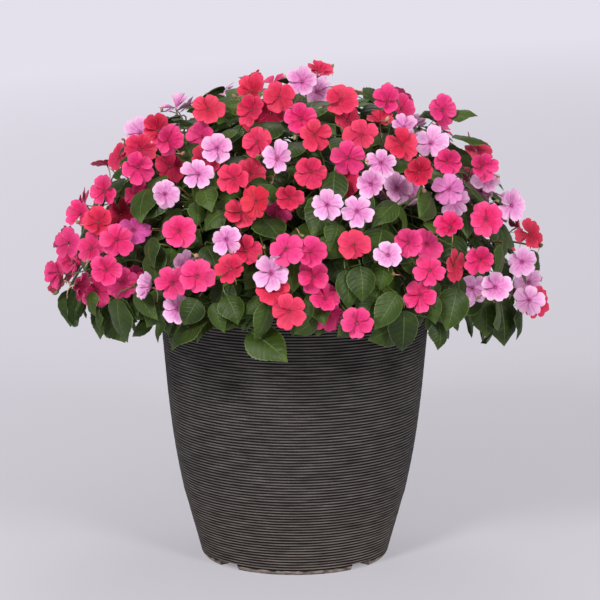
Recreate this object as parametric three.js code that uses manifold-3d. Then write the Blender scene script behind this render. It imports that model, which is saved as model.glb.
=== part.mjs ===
// A busy lizzie (Impatiens walleriana) in full flower, standing in a ribbed plastic pot.
// Millimetres, +Z up, origin on the ground under the middle of the pot, front towards -Y.
//
// The pot and its soil are turned shapes. Out of the soil rise leafy stems, one solid each: a stem with
// its leaves fused on by their stalks. Each stem carries a spray on its tip, one solid each: a joint from
// which the flower stalks fan out, all with blooms of one colour.

import * as THREE from "three";
import { ConvexHull } from "three/addons/math/ConvexHull.js";
import { mergeVertices } from "three/addons/utils/BufferGeometryUtils.js";
import Module from "manifold-3d";

const wasm = await Module();
wasm.setup();

const { Vector3 } = THREE;
const UP = new Vector3(0, 0, 1);
const GOLDEN_ANGLE = Math.PI * (3 - Math.sqrt(5));
const SEAT_GAP = 0.3; // between solids that touch

// ---- Pot -------------------------------------------------------------------------------------------

const POT_HEIGHT = 345;
const POT_SIDES = 24;
const POT_OUTLINE = [[118, 0], [137.2, 62], [148.2, 112], [163, 217], [174, POT_HEIGHT]]; // radius, height
const WALL = 7;
const FLOOR_UNDER = 9;
const FLOOR_TOP = 15;
const FOOT_INNER_RADIUS = 104;
const FOOT_GAP_WIDTH = 31;
const FOOT_GAP_HEIGHT = 8;
const DRAIN_RADIUS = 12;
const DRAIN_SIDES = 8;
const RIB_COUNT = 9;
const RIB_DEPTH = 2.4;
const RIBS_FROM = 12;
const RIBS_TO = 330;
const LIP_ROUNDING = 3;
const WALL_KNOTS = [FLOOR_TOP, 120, 230, POT_HEIGHT]; // heights where the inner wall bends

// ---- Soil ------------------------------------------------------------------------------------------

const SOIL_TOP = 318;
const SOIL_MOUND = 5;
const MOUND_BEND = 0.65; // share of the radius, and of the rise, where the mound bends
const HOLE_DEPTH = 24;

// ---- Crown of leaves and blooms: a dome that tucks in below its widest level ------------------------

const CROWN_LEVEL = 345; // height of the widest level
const CROWN_RADIUS = 306;
const CROWN_RISE = 281;
const CROWN_SKIRT = 110;

// ---- Stems -----------------------------------------------------------------------------------------

const STEM_COUNT = 27;
const STEM_SIDES = 4; // of the holes in the soil too
const STEM_RADII = [5, 4.8, 4.2, 3.6, 3];
const STEM_REACH = 0.6; // of the way from the middle of the crown to its surface
const LOWEST_STEM = 0.1; // sine of the elevation
const HIGHEST_STEM = 0.97;
const ROOT_SPREAD = 124;
const ROOT_STRAY = 0.1; // share of the spread that a root may stand further in by
const COLLAR = 20; // a stem rises straight out of the soil to here
const BEND_OUT = 0.14; // share of the way out to its tip where a stem is still steep
const LEAST_BEND_RISE = 62;
const LOWEST_TIP = 388; // the outer stems pass clear over the rim
const JOINT_RADIUS = 8;
const JOINT_FOOT = 5; // from the middle of a joint down to its foot
const STALK_RADIUS = 1.6;
const STALK_ROOT_RADIUS = 0.9;
const LEAST_FORK_RISE = -0.15; // cosine between a stalk at its joint and the stem's heading
const JOINTS_TRIED = 7; // the nearest of its colour
const LEAST_FORK = 2.1 * Math.atan(STALK_ROOT_RADIUS / JOINT_RADIUS); // angle between two stalks of a joint

// ---- Blooms and leaves -----------------------------------------------------------------------------

const COLOURS = ["rose", "coral", "pale"];
const BLOOM_RADII = [20.5, 23.5];
const PETALS = 5;
const PETAL_SHOULDER = 0.37; // radians from the middle of a petal to its shoulders
const NOTCH_DEPTH = 0.66; // radius of the notch between two petals, in bloom radii
const BLOOM_DISH = 2.4; // the eye lies this much below the petals' edge
const BLOOM_WAVE = 1.3;
const BLOOM_DROOP = 0.3; // share of the wave that falls behind the bloom's plane
const PETAL_UNEVEN = 0.06; // share of the radius that a petal may fall short by
const BLOOM_THICKNESS = 2.6;

const SKIRT_LEAF_LENGTHS = [52, 72];
const LATTICE_LEAF_LENGTHS = [64, 84];
const LEAF_SLENDERNESS = 0.76; // width over length
const LEAF_SIDE = [[0.16, 0.74], [0.42, 1], [0.74, 0.62]]; // along the leaf, share of the half width
const LEAF_HUB = 0.45;
const LEAF_ARCH = 4.2;
const LEAF_WAVE = 1.8;
const LEAF_THICKNESS = 2.2;

const STEMS_TRIED = 5; // the nearest to a leaf
const UPPER_ROOTS = [0.7, 0.4, 0.1]; // along the last stretch of a stem, where a leaf's stalk may spring
const LOWER_ROOTS = [0.7, 0.4]; // along the stretch below it
const ROOT_SLIP = 0.2;
const PETIOLE_BENDS = [0, 12, 22]; // how far behind its blade a leaf's stalk may bend
const LEAST_SLANT = 0.15; // cosine between a stalk that starts straight and the way back from its blade
const BEND_DEPTHS = [14, 26, 40, 56]; // how far behind its bloom a flower stalk may bend
const BEND_TURNS = 7; // ways to lean there
const BEND_BACK = 0.75; // shares of that depth: straight back from the bloom,
const BEND_HOME = 0.5; // towards the joint
const BEND_LEAN = 0.8; // and to one side
const BEND_LIFTS = [20, 40]; // how far a second bend rises, where one is needed
const CLEARANCE = 0.9; // kept between any two pieces of the crown
const NEAR_ROOT = 14; // where stalks spring they may lie closer
const PLATE_HALF_THICKNESS = 2.9;
const PLATE_RINGS = [[1, 28], [0.66, 16], [0.33, 8]]; // share of the size, points tested on it
const LIMB_STEP = 4; // between the points tested along a stem or stalk
const POT_ROOM = 2; // kept to the pot and the soil
const SINK_STEP = 5;
const SINK_STEPS = 17; // that a piece may lie too deep by
const LATTICE_LEAF_STEPS = 8;
const LEAF_TWISTS = [0, 0.45, -0.45, 0.8, -0.8]; // radians about its own length that a leaf may turn by

// ---- Front view, as drawn ---------------------------------------------------------------------------
// The blooms and the large leaves of the front are set out on a perspective drawing on a square grid. The
// eye stands at VIEWER and looks down by VIEW_TILT; FOCUS is its distance from the drawing, in grid units.
// One unit is about 1.27 mm on the plant. Grid x runs to the right and y runs down.

const VIEWER = new Vector3(0, -3450, 961);
const VIEW_TILT = THREE.MathUtils.degToRad(10.37);
const FOCUS = 2750;
const GRID_AXIS = 294.8;
const GRID_HORIZON = 300;
const SIGHT_FROM = 2900;
const SIGHT_TO = 4100;
const SIGHT_STEP = 2;
const LAYER_DEPTH = 0.06; // share of the crown that lies over a bloom of layer 1
const LEAST_TOWARDS = 0.04; // square of how far a drawn bloom faces the viewer at least
const LEAF_BASE_SHARE = 0.95; // share of the crown's size at the base of a drawn leaf,
const LEAF_TIP_SHARE = 0.97; // and at its tip
const MOST_SLOPING = 1.35; // the length of a drawn leaf over what the drawing shows of it
const DRAWN_LEAF_LIFT = 0.4; // how much more it faces up than out

// x, y of the eye of the bloom; how far it faces right and up (-1 to 1); 1 where it lies behind others
const DRAWN_BLOOMS = {
  coral: [
    [319, 72, 0.3, 0.8, 1], [341, 99, 0.1, 0.3, 0], [279, 97, 0.1, 0.1, 0], [252, 91, -0.1, 0.5, 0],
    [251, 110, -0.1, 0.2, 0], [271, 113, -0.3, -0.1, 1], [256, 124, 0.2, 0.4, 1], [257, 142, -0.4, 0, 0],
    [315, 135, 0.2, 0, 0], [208, 109, 0.1, 0.3, 0], [206, 160, 0.3, 0.1, 1], [158, 130, -0.2, 0.2, 1],
    [140, 149, -0.2, 0.1, 0], [119, 157, -0.6, 0.3, 1], [170, 167, 0.1, 0.3, 1], [98, 222, -0.2, 0.3, 0],
    [121, 214, 0.8, 0.1, 1], [233, 178, -0.3, 0, 0], [250, 174, 0.3, 0.1, 1], [256, 201, -0.1, 0, 0],
    [241, 212, 0, 0.5, 0], [246, 251, 0.1, 0.3, 1], [231, 269, -0.2, 0.2, 0], [273, 290, 0.1, 0.4, 1],
    [289, 311, 0, 0, 0], [354, 245, 0.1, 0, 0], [346, 182, -0.3, 0, 1], [311, 172, 0, 0, 0],
    [289, 198, 0, 0.1, 0], [419, 172, 0, 0.1, 0], [402, 145, 0.1, 0.3, 0], [361, 135, -0.5, 0, 0],
    [380, 121, 0, 0.7, 1], [348, 120, 0.7, 0.3, 1], [530, 234, 0.7, 0.2, 0], [536, 302, 0.6, 0, 1],
    [479, 152, 0.2, 0.7, 1], [454, 266, 0.7, 0.1, 1],
  ],
  rose: [
    [301, 119, -0.1, 0.1, 0], [201, 137, -0.6, 0, 1], [169, 140, 0.4, 0.1, 0], [138, 168, 0.1, -0.2, 0],
    [136, 194, 0.7, -0.2, 1], [104, 191, -0.4, 0.3, 0], [80, 214, -0.6, 0.3, 0], [68, 243, -0.6, 0.1, 0],
    [69, 260, -0.7, 0, 1], [58, 273, -0.7, -0.2, 0], [77, 286, 0.8, -0.1, 0], [91, 248, -0.3, 0.3, 0],
    [117, 240, 0.1, -0.1, 0], [134, 230, 0.3, 0.5, 1], [106, 270, 0, 0.1, 0], [97, 291, -0.2, -0.2, 1],
    [122, 283, 0.2, -0.2, 1], [130, 277, 0.3, 0.8, 1], [179, 231, 0, 0, 0], [172, 283, -0.3, 0.1, 0],
    [197, 276, 0, 0.1, 0], [286, 249, -0.1, 0, 0], [310, 252, 0, 0, 0], [313, 277, 0, 0.1, 0],
    [325, 298, 0, 0.5, 1], [328, 315, 0.3, -0.2, 0], [357, 323, 0, 0.2, 0], [408, 243, -0.1, 0.1, 0],
    [427, 244, 0.4, 0, 1], [430, 270, 0.1, 0.2, 0], [420, 295, -0.1, -0.1, 0], [277, 209, -0.4, -0.4, 1],
    [348, 158, 0, 0, 0], [447, 162, 0.1, 0, 0], [386, 101, 0, 0.5, 0], [402, 109, 0.6, 0.3, 1],
    [442, 110, 0.1, 0.2, 0], [482, 167, 0.3, 0.1, 0], [486, 219, 0.1, 0, 0], [450, 227, -0.2, 0.2, 0],
    [480, 260, 0.1, 0, 0],
  ],
  pale: [
    [302, 82, 0, 0.2, 0], [317, 92, 0.3, 0, 1], [277, 159, 0, 0.3, 0], [217, 148, 0, 0.2, 0],
    [198, 174, -0.3, 0.3, 0], [140, 133, -0.3, 0.4, 1], [165, 194, 0.2, 0, 0], [150, 287, -0.7, 0.1, 0],
    [178, 309, -0.2, 0.2, 1], [183, 266, 0.7, 0, 1], [226, 239, -0.2, 0.1, 0], [271, 273, 0, 0.3, 0],
    [388, 255, 0, 0.2, 0], [327, 205, 0, 0, 0], [357, 211, 0.1, 0.1, 0], [371, 184, -0.1, 0.1, 0],
    [384, 190, 0.1, -0.1, 1], [397, 188, 0.5, 0, 1], [381, 163, 0.1, -0.1, 0], [408, 189, 0.1, 0.1, 1],
    [449, 189, 0, 0.1, 0], [454, 201, 0.2, 0, 1], [404, 127, 0, 0.4, 0], [413, 139, 0.5, 0.2, 1],
    [431, 143, 0.4, 0.4, 0], [485, 180, 0.1, 0.8, 0], [480, 191, -0.3, -0.2, 1], [512, 205, 0.6, 0.3, 0],
    [522, 262, 0.3, 0, 0], [495, 287, 0.1, 0.2, 0], [472, 288, -0.1, -0.1, 1], [529, 282, 0.4, 0.1, 1],
    [529, 300, 0.1, 0.1, 0],
  ],
};

// x, y of a leaf's base; x, y of its tip; its width
const DRAWN_LEAVES = [
  [74, 288, 71, 325, 28], [91, 292, 94, 316, 18], [99, 306, 99, 332, 12], [118, 298, 125, 344, 34],
  [136, 290, 157, 320, 20], [163, 310, 156, 344, 11], [166, 296, 167, 337, 18], [198, 299, 183, 326, 26],
  [186, 293, 213, 307, 18], [213, 303, 224, 333, 18], [226, 296, 239, 324, 27], [237, 279, 226, 300, 20],
  [264, 300, 245, 314, 18], [270, 300, 256, 341, 24], [303, 300, 308, 323, 18], [337, 302, 340, 331, 18],
  [345, 270, 350, 311, 22], [360, 266, 363, 302, 29], [355, 258, 322, 268, 20], [397, 293, 375, 330, 26],
  [404, 310, 402, 361, 35], [431, 294, 435, 325, 18], [457, 288, 447, 331, 32], [480, 300, 440, 320, 26],
  [495, 300, 501, 347, 35], [494, 322, 481, 350, 22], [518, 306, 519, 340, 18], [531, 250, 536, 279, 18],
  [446, 116, 478, 114, 16], [452, 138, 497, 145, 20], [441, 117, 400, 113, 18], [288, 92, 266, 92, 20],
  [248, 106, 222, 106, 18], [190, 124, 167, 121, 18], [130, 150, 113, 149, 16], [129, 170, 111, 176, 20],
  [350, 104, 374, 101, 16], [147, 189, 139, 222, 32], [151, 238, 152, 268, 26], [171, 248, 167, 281, 24],
  [198, 236, 172, 258, 20], [224, 212, 204, 230, 22], [196, 203, 197, 227, 18], [204, 187, 211, 211, 22],
  [206, 246, 218, 272, 24], [262, 243, 266, 270, 18], [262, 213, 255, 242, 18], [396, 203, 372, 226, 22],
  [400, 206, 405, 233, 26], [414, 195, 434, 225, 24], [452, 234, 450, 273, 32], [502, 248, 495, 281, 26],
  [464, 261, 472, 291, 26], [501, 228, 500, 262, 24], [387, 123, 386, 152, 24], [347, 127, 345, 151, 20],
  [262, 180, 291, 180, 20], [403, 149, 396, 180, 18], [305, 214, 322, 247, 28], [289, 214, 300, 238, 22],
  [338, 222, 330, 251, 24], [214, 116, 238, 128, 22],
];

// ---- Crown, the sides that the drawing doesn't show --------------------------------------------------

const BLOOM_LATTICE = 178; // places all round, of which the drawn side is left out
const LOWEST_BLOOM = -0.2; // sine of the elevation
const BLOOM_STRAY = 0.4; // radians round the crown
const BLOOM_DEPTH = 0.05; // share of the crown that may lie over a bloom
const BLOOM_TILT = 0.9;
const COLOUR_STOPS = [0.37, 0.72, 1]; // a draw below the first is rose, below the next coral
const LEAF_LATTICE = 250;
const LOWEST_LEAF = -0.12;
const LEAF_TURN = 1.1; // radians round the crown, from the lattice of the blooms to that of the leaves
const LEAF_STRAY = 0.5;
const LEAF_SHARE = 0.88; // of the way out, at a leaf's base
const LEAF_FAN = 2.6; // radians between the furthest ways that leaves point, downhill in the middle
const LEAF_FLARE = 0.25; // outwards, for each unit along
const CROWDING_UP = 0.75; // below 1, more of the leaves stand high
const LEAF_LIFT = 1.2; // how much more a leaf faces up than out
const SKIRT_LEAVES = 34;
const SKIRT_SINES = [0.02, 0.14];
const SKIRT_SHARE = 0.9; // of the way out
const SKIRT_FLARE = 0.3; // outwards, for each unit down
const SKIRT_KEYS = 3000; // the numbers of the skirt's and the lattice's leaves start here
const LATTICE_KEYS = 5000;
const DRAWN_SIDE = -0.1; // a place whose outward direction turns further to the viewer is drawn

// ---- Small helpers ---------------------------------------------------------------------------------

const DRAW_SEED = 2166136261;
const KEY_OFFSET = 1013;
const KEY_STEP = 16777619;
const DRAW_ROUNDS = [[15, 2246822519], [13, 3266489917]];

/** A repeatable number from 0 to 1 for a named place in the order of things. */
function draw(...keys) {
  let state = DRAW_SEED;
  for (const key of keys) state = Math.imul(state ^ (key + KEY_OFFSET), KEY_STEP) >>> 0;
  for (const [shift, step] of DRAW_ROUNDS) state = Math.imul(state ^ (state >>> shift), step) >>> 0;
  return ((state ^ (state >>> 16)) >>> 0) / 2 ** 32;
}

function between([low, high], share) {
  return low + (high - low) * share;
}

/** vector without its share along the unit vector axis, at length 1. */
function squareTo(vector, axis) {
  return vector.clone().addScaledVector(axis, -vector.dot(axis)).normalize();
}

function along(origin, ...steps) {
  const point = origin.clone();
  for (const [direction, distance] of steps) point.addScaledVector(direction, distance);
  return point;
}

// ---- Solids ----------------------------------------------------------------------------------------

/** A closed mesh, given as points and triangles, as a solid whose faces point out. */
function solidOf(points, faces) {
  const vertProperties = new Float32Array(points.flatMap((point) => point.toArray()));
  const triVerts = new Uint32Array(faces.flat());
  return new wasm.Manifold(new wasm.Mesh({ numProp: 3, vertProperties, triVerts }));
}

/** The same from a three.js geometry, whose seams are welded first. */
function solidOfGeometry(geometry) {
  geometry.deleteAttribute("normal");
  geometry.deleteAttribute("uv");
  const welded = mergeVertices(geometry, 1e-4);
  const corners = welded.index.array;
  const faces = [];
  for (let i = 0; i < corners.length; i += 3) {
    const [a, b, c] = [corners[i], corners[i + 1], corners[i + 2]];
    if (a !== b && b !== c && c !== a) faces.push([a, b, c]);
  }
  const places = welded.attributes.position;
  const points = Array.from({ length: places.count }, (_, i) => new Vector3().fromBufferAttribute(places, i));
  return solidOf(points, faces);
}

function geometryOf(solid) {
  const { vertProperties, triVerts, numProp } = solid.getMesh();
  const geometry = new THREE.BufferGeometry();
  const places = new Float32Array((vertProperties.length / numProp) * 3);
  for (let i = 0; i < places.length; i += 3) {
    const from = (i / 3) * numProp;
    places.set(vertProperties.subarray(from, from + 3), i);
  }
  geometry.setAttribute("position", new THREE.BufferAttribute(places, 3));
  geometry.setIndex(new THREE.BufferAttribute(triVerts, 1));
  geometry.computeVertexNormals();
  return geometry;
}

function fuse(solids) {
  return solids.reduce((whole, solid) => whole.add(solid));
}

/** A shape turned round Z from an outline of [radius, height]. */
function turned(outline, sides) {
  const points = outline.map(([radius, height]) => new THREE.Vector2(radius, height));
  return new THREE.LatheGeometry(points, sides).rotateX(Math.PI / 2);
}

/** A prism that stands on (x, y, low) and reaches up to high. */
function standingPrism(x, y, radius, low, high, sides) {
  const geometry = new THREE.CylinderGeometry(radius, radius, high - low, sides, 1);
  geometry.rotateX(Math.PI / 2).translate(x, y, (low + high) / 2);
  return solidOfGeometry(geometry);
}

// ---- Pot and soil ----------------------------------------------------------------------------------

const potCorners = POT_OUTLINE.map(([radius, height]) => new THREE.Vector2(radius, height));
const potCurvePoints = new THREE.SplineCurve(potCorners).getPoints(200);

function potRadius(height) {
  const next = potCurvePoints.findIndex((point) => point.y >= height);
  if (next <= 0) return potCurvePoints[Math.max(next, 0)].x;
  const [below, above] = [potCurvePoints[next - 1], potCurvePoints[next]];
  return between([below.x, above.x], (height - below.y) / (above.y - below.y));
}

/** Radius of the inner wall, which runs straight between its knots. */
function innerRadius(height) {
  const next = Math.max(WALL_KNOTS.findIndex((knot) => knot >= height), 1);
  const [low, high] = [WALL_KNOTS[next - 1], WALL_KNOTS[next]];
  const ends = [potRadius(low) - WALL, potRadius(high) - WALL];
  return between(ends, (height - low) / (high - low));
}

function potSolid() {
  const outline = [[0, FLOOR_UNDER], [FOOT_INNER_RADIUS, FLOOR_UNDER]];
  outline.push([FOOT_INNER_RADIUS, 0], [potRadius(0), 0]);
  const pitch = (RIBS_TO - RIBS_FROM) / RIB_COUNT;
  for (let rib = 0; rib < RIB_COUNT; rib++) {
    const groove = RIBS_FROM + rib * pitch;
    const crest = groove + pitch / 2;
    outline.push([potRadius(groove) - RIB_DEPTH, groove], [potRadius(crest), crest]);
  }
  outline.push([potRadius(RIBS_TO) - RIB_DEPTH, RIBS_TO]);
  outline.push([potRadius(POT_HEIGHT - LIP_ROUNDING), POT_HEIGHT - LIP_ROUNDING]);
  outline.push([potRadius(POT_HEIGHT) - LIP_ROUNDING / 2, POT_HEIGHT]);
  for (const knot of [...WALL_KNOTS].reverse()) outline.push([innerRadius(knot), knot]);
  outline.push([0, FLOOR_TOP]);

  let pot = solidOfGeometry(turned(outline, POT_SIDES));
  for (let quarter = 0; quarter < 2; quarter++) {
    const gap = new THREE.BoxGeometry(4 * FOOT_INNER_RADIUS, FOOT_GAP_WIDTH, 2 * FOOT_GAP_HEIGHT);
    gap.rotateZ(Math.PI / 4 + (quarter * Math.PI) / 2);
    pot = pot.subtract(solidOfGeometry(gap));
  }
  const drain = standingPrism(0, 0, DRAIN_RADIUS, 0, 2 * FLOOR_TOP, DRAIN_SIDES);
  return pot.subtract(drain);
}

function soilSolid(stems) {
  const bottom = FLOOR_TOP + SEAT_GAP;
  const side = (height) => [innerRadius(height) - SEAT_GAP, height];
  const outline = [[0, bottom], side(bottom), ...WALL_KNOTS.slice(1, -1).map(side), side(SOIL_TOP)];
  outline.push([innerRadius(SOIL_TOP) * MOUND_BEND, SOIL_TOP + SOIL_MOUND * MOUND_BEND]);
  outline.push([0, SOIL_TOP + SOIL_MOUND]);
  let soil = solidOfGeometry(turned(outline, POT_SIDES));
  const radius = STEM_RADII[0] + SEAT_GAP / Math.cos(Math.PI / STEM_SIDES);
  for (const stem of stems) {
    const { x, y } = stem.path[0];
    const hole = standingPrism(x, y, radius, SOIL_TOP - HOLE_DEPTH, SOIL_TOP + 3 * SOIL_MOUND, STEM_SIDES);
    soil = soil.subtract(hole);
  }
  return soil;
}

// ---- The crown's surface ---------------------------------------------------------------------------

/** The point of the crown's surface at a sine of elevation and an azimuth, or a share of the way to it. */
function crownPoint(sine, azimuth, share = 1) {
  const cosine = Math.sqrt(1 - sine * sine);
  const rise = sine > 0 ? CROWN_RISE : CROWN_SKIRT;
  const reach = CROWN_RADIUS * cosine * share;
  return new Vector3(Math.cos(azimuth) * reach, Math.sin(azimuth) * reach, CROWN_LEVEL + rise * sine * share);
}

/** How far out a point lies: 0 in the middle of the crown, 1 on its surface. */
function crownShare(point) {
  const rise = point.z > CROWN_LEVEL ? CROWN_RISE : CROWN_SKIRT;
  return Math.hypot(point.x / CROWN_RADIUS, point.y / CROWN_RADIUS, (point.z - CROWN_LEVEL) / rise);
}

/** The crown's outward direction at a point on it. */
function outwardAt(point) {
  const rise = point.z > CROWN_LEVEL ? CROWN_RISE : CROWN_RADIUS;
  const slope = (point.z - CROWN_LEVEL) / rise ** 2;
  return new Vector3(point.x / CROWN_RADIUS ** 2, point.y / CROWN_RADIUS ** 2, slope).normalize();
}

/** Direction from the viewer through a place on the drawing. */
function sightLine(x, y) {
  const right = (x - GRID_AXIS) / FOCUS;
  const down = (y - GRID_HORIZON) / FOCUS;
  const [sine, cosine] = [Math.sin(VIEW_TILT), Math.cos(VIEW_TILT)];
  return new Vector3(right, cosine - down * sine, -sine - down * cosine).normalize();
}

/** Where a sight line first meets the crown taken at a share of its size, or passes closest to it. */
function seenAt(x, y, share = 1) {
  const line = sightLine(x, y);
  let closest = null;
  let least = Infinity;
  for (let distance = SIGHT_FROM; distance < SIGHT_TO; distance += SIGHT_STEP) {
    const point = along(VIEWER, [line, distance]);
    const out = crownShare(point) / share;
    if (out < least) {
      least = out;
      closest = point;
    }
    if (out <= 1) break;
  }
  return closest;
}

function isDrawnSide(point) {
  const towardsViewer = VIEWER.clone().sub(point).normalize();
  return outwardAt(point).dot(towardsViewer) > DRAWN_SIDE;
}

/** Would something of this thickness here touch the pot or the soil? */
function touchesPot(point, thickness) {
  const room = thickness + POT_ROOM;
  if (point.z > POT_HEIGHT + room) return false;
  const radius = Math.hypot(point.x, point.y);
  if (radius < innerRadius(POT_HEIGHT) - room) return point.z < SOIL_TOP + SOIL_MOUND + room;
  return radius < potRadius(Math.max(point.z, 0)) + room;
}

// ---- What stands where: plates (blooms, leaves) and limbs (stems, stalks) ---------------------------

const plates = [];
const limbs = [];

/** A flat oval with its own directions: along its length, across it, and out of its face. */
function plate(centre, length, width, forward, face) {
  const across = face.clone().cross(forward).normalize();
  const ahead = across.clone().cross(face).normalize();
  const samples = [centre];
  for (const [share, count] of PLATE_RINGS) {
    for (let i = 0; i < count; i++) {
      const angle = (i / count) * 2 * Math.PI;
      const [x, y] = [Math.cos(angle) * share * length / 2, Math.sin(angle) * share * width / 2];
      samples.push(along(centre, [ahead, x], [across, y]));
    }
  }
  const [a, b] = [length / 2, width / 2];
  return { centre, face, ahead, across, a, b, reach: Math.max(a, b), samples };
}

function distanceToPlate(point, { centre, face, ahead, across, a, b }) {
  const arm = point.clone().sub(centre);
  const share = Math.hypot(arm.dot(ahead) / a, arm.dot(across) / b);
  const beside = Math.max(share - 1, 0) * Math.min(a, b);
  const above = Math.max(Math.abs(arm.dot(face)) - PLATE_HALF_THICKNESS, 0);
  return Math.hypot(beside, above);
}

function limb(from, to, radius, owner) {
  const length = from.distanceTo(to);
  const count = Math.max(Math.ceil(length / LIMB_STEP), 1);
  const samples = Array.from({ length: count + 1 }, (_, i) => from.clone().lerp(to, i / count));
  return { from, to, radius, owner, middle: from.clone().lerp(to, 0.5), reach: length / 2, samples };
}

function platesCross(one, other) {
  const room = PLATE_HALF_THICKNESS + CLEARANCE;
  if (one.centre.distanceTo(other.centre) > one.reach + other.reach + room) return false;
  if (one.samples.some((point) => distanceToPlate(point, other) < room)) return true;
  return other.samples.some((point) => distanceToPlate(point, one) < room);
}

function limbMeetsPlate(stalk, blade) {
  const room = stalk.radius + CLEARANCE;
  if (stalk.middle.distanceTo(blade.centre) > stalk.reach + blade.reach + room) return false;
  return stalk.samples.some((point) => distanceToPlate(point, blade) < room);
}

function distanceToSegment(point, from, to) {
  const line = to.clone().sub(from);
  const share = THREE.MathUtils.clamp(point.clone().sub(from).dot(line) / line.lengthSq(), 0, 1);
  return point.distanceTo(along(from, [line, share]));
}

function limbsMeet(one, other) {
  const room = one.radius + other.radius + CLEARANCE;
  if (one.middle.distanceTo(other.middle) > one.reach + other.reach + room) return false;
  return one.samples.some((point) => distanceToSegment(point, other.from, other.to) < room);
}

function plateIsClear(blade) {
  if (blade.samples.some((point) => touchesPot(point, PLATE_HALF_THICKNESS))) return false;
  if (plates.some((other) => platesCross(blade, other))) return false;
  return !limbs.some((stalk) => limbMeetsPlate(stalk, blade));
}

/** Where it springs, a stalk may run close to limbs of its own solid and to the stem that carries it. */
function stalkIsClear(path, radius, owner, carrier, ownPlate) {
  const pieces = path.slice(1).map((point, i) => limb(path[i], point, radius, owner));
  const root = path[path.length - 1];
  for (const piece of pieces) {
    if (piece.samples.some((point) => touchesPot(point, radius))) return false;
    if (plates.some((blade) => blade !== ownPlate && limbMeetsPlate(piece, blade))) return false;
    const away = { ...piece, samples: piece.samples.filter((point) => point.distanceTo(root) > NEAR_ROOT) };
    const isNear = (other) => other.owner === owner || other === carrier;
    if (limbs.some((other) => limbsMeet(isNear(other) ? away : piece, other))) return false;
  }
  return true;
}

function keepStalk(path, radius, owner) {
  for (let i = 1; i < path.length; i++) limbs.push(limb(path[i - 1], path[i], radius, owner));
}

// ---- Stems and joints ------------------------------------------------------------------------------

/** Where each stem stands and how it runs; its spray springs from a joint just off its tip. */
function layOutStems() {
  const stems = [];
  for (let i = 0; i < STEM_COUNT; i++) {
    const sine = between([LOWEST_STEM, HIGHEST_STEM], (i + 0.5) / STEM_COUNT);
    const azimuth = i * GOLDEN_ANGLE;
    const tip = crownPoint(sine, azimuth, STEM_REACH);
    tip.z = Math.max(tip.z, LOWEST_TIP);
    const spread = ROOT_SPREAD * Math.sqrt(1 - sine * sine) * (1 - ROOT_STRAY * draw(i, 1));
    const depth = HOLE_DEPTH - SEAT_GAP;
    const foot = new Vector3(Math.cos(azimuth) * spread, Math.sin(azimuth) * spread, SOIL_TOP - depth);
    const collar = foot.clone().setZ(SOIL_TOP + COLLAR);
    const bend = foot.clone().lerp(tip, BEND_OUT);
    bend.z = collar.z + Math.max(LEAST_BEND_RISE, (tip.z - collar.z) / 2);
    const curve = new THREE.QuadraticBezierCurve3(collar, bend, tip);
    const path = [foot, ...curve.getPoints(3)];
    const heading = tip.clone().sub(path[path.length - 2]).normalize();
    const joint = along(tip, [heading, JOINT_FOOT + SEAT_GAP]);
    const name = String(i + 1).padStart(2, "0");
    stems.push({ name, path, heading, joint, colour: COLOURS[i % COLOURS.length], leaves: [], blooms: [] });
  }
  stems.forEach((stem) => {
    for (let k = 1; k < stem.path.length; k++) {
      limbs.push(limb(stem.path[k - 1], stem.path[k], STEM_RADII[k - 1], `stem ${stem.name}`));
    }
    stem.top = limbs[limbs.length - 1];
    const crest = along(stem.joint, [stem.heading, SEAT_GAP]);
    limbs.push(limb(stem.joint, crest, JOINT_RADIUS, `spray ${stem.name}`));
  });
  return stems;
}

// ---- Placing blooms --------------------------------------------------------------------------------

/** A clear way for a flower stalk from behind the bloom to a joint of its colour. */
function findFlowerStalk(stems, colour, blade) {
  const back = blade.face.clone().negate();
  const start = along(blade.centre, [back, BLOOM_THICKNESS]);
  const joints = stems.filter((stem) => stem.colour === colour);
  joints.sort((one, other) => one.joint.distanceTo(start) - other.joint.distanceTo(start));
  for (const stem of joints.slice(0, JOINTS_TRIED)) {
    const home = stem.joint.clone().sub(start).normalize();
    const ways = [];
    const detours = [];
    if (home.dot(back) > LEAST_SLANT) ways.push([start]);
    for (const depth of BEND_DEPTHS) {
      for (let turn = 0; turn < BEND_TURNS; turn++) {
        const lean = turn === 0 ? 0 : depth * BEND_LEAN;
        const side = blade.ahead.clone().applyAxisAngle(blade.face, (turn * 2 * Math.PI) / (BEND_TURNS - 1));
        ways.push([start, along(start, [back, depth * BEND_BACK], [home, depth * BEND_HOME], [side, lean])]);
      }
    }
    for (const [, bend] of ways.filter((way) => way.length > 1)) {
      for (const lift of BEND_LIFTS) {
        detours.push([start, bend, along(bend.clone().lerp(stem.joint, 0.5), [UP, lift])]);
      }
    }
    const owner = `spray ${stem.name}`;
    for (const way of [...ways, ...detours]) {
      const fork = way[way.length - 1].clone().sub(stem.joint).normalize();
      if (fork.dot(stem.heading) < LEAST_FORK_RISE) continue;
      if (stem.blooms.some((other) => other.fork.angleTo(fork) < LEAST_FORK)) continue;
      way.push(along(stem.joint, [fork, JOINT_RADIUS]));
      if (stalkIsClear(way, STALK_RADIUS, owner, stem.top, blade)) return { stem, way, owner, fork };
    }
  }
  return null;
}

/** The blade of a bloom, so many steps deeper in the crown than where it is wanted. */
function bloomBlade({ eye, facing, deeper, key }, step) {
  const radius = between(BLOOM_RADII, draw(key, 2));
  const side = squareTo(Math.abs(facing.z) < 0.9 ? UP : new Vector3(1, 0, 0), facing);
  const ahead = side.applyAxisAngle(facing, draw(key, 3) * 2 * Math.PI);
  return plate(along(eye, [deeper, step * SINK_STEP]), 2 * radius, 2 * radius, ahead, facing);
}

function keepBloom({ stem, way, owner, fork }, blade, key) {
  keepStalk(way, STALK_RADIUS, owner);
  stem.blooms.push({ blade, way, fork, key });
}

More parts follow.
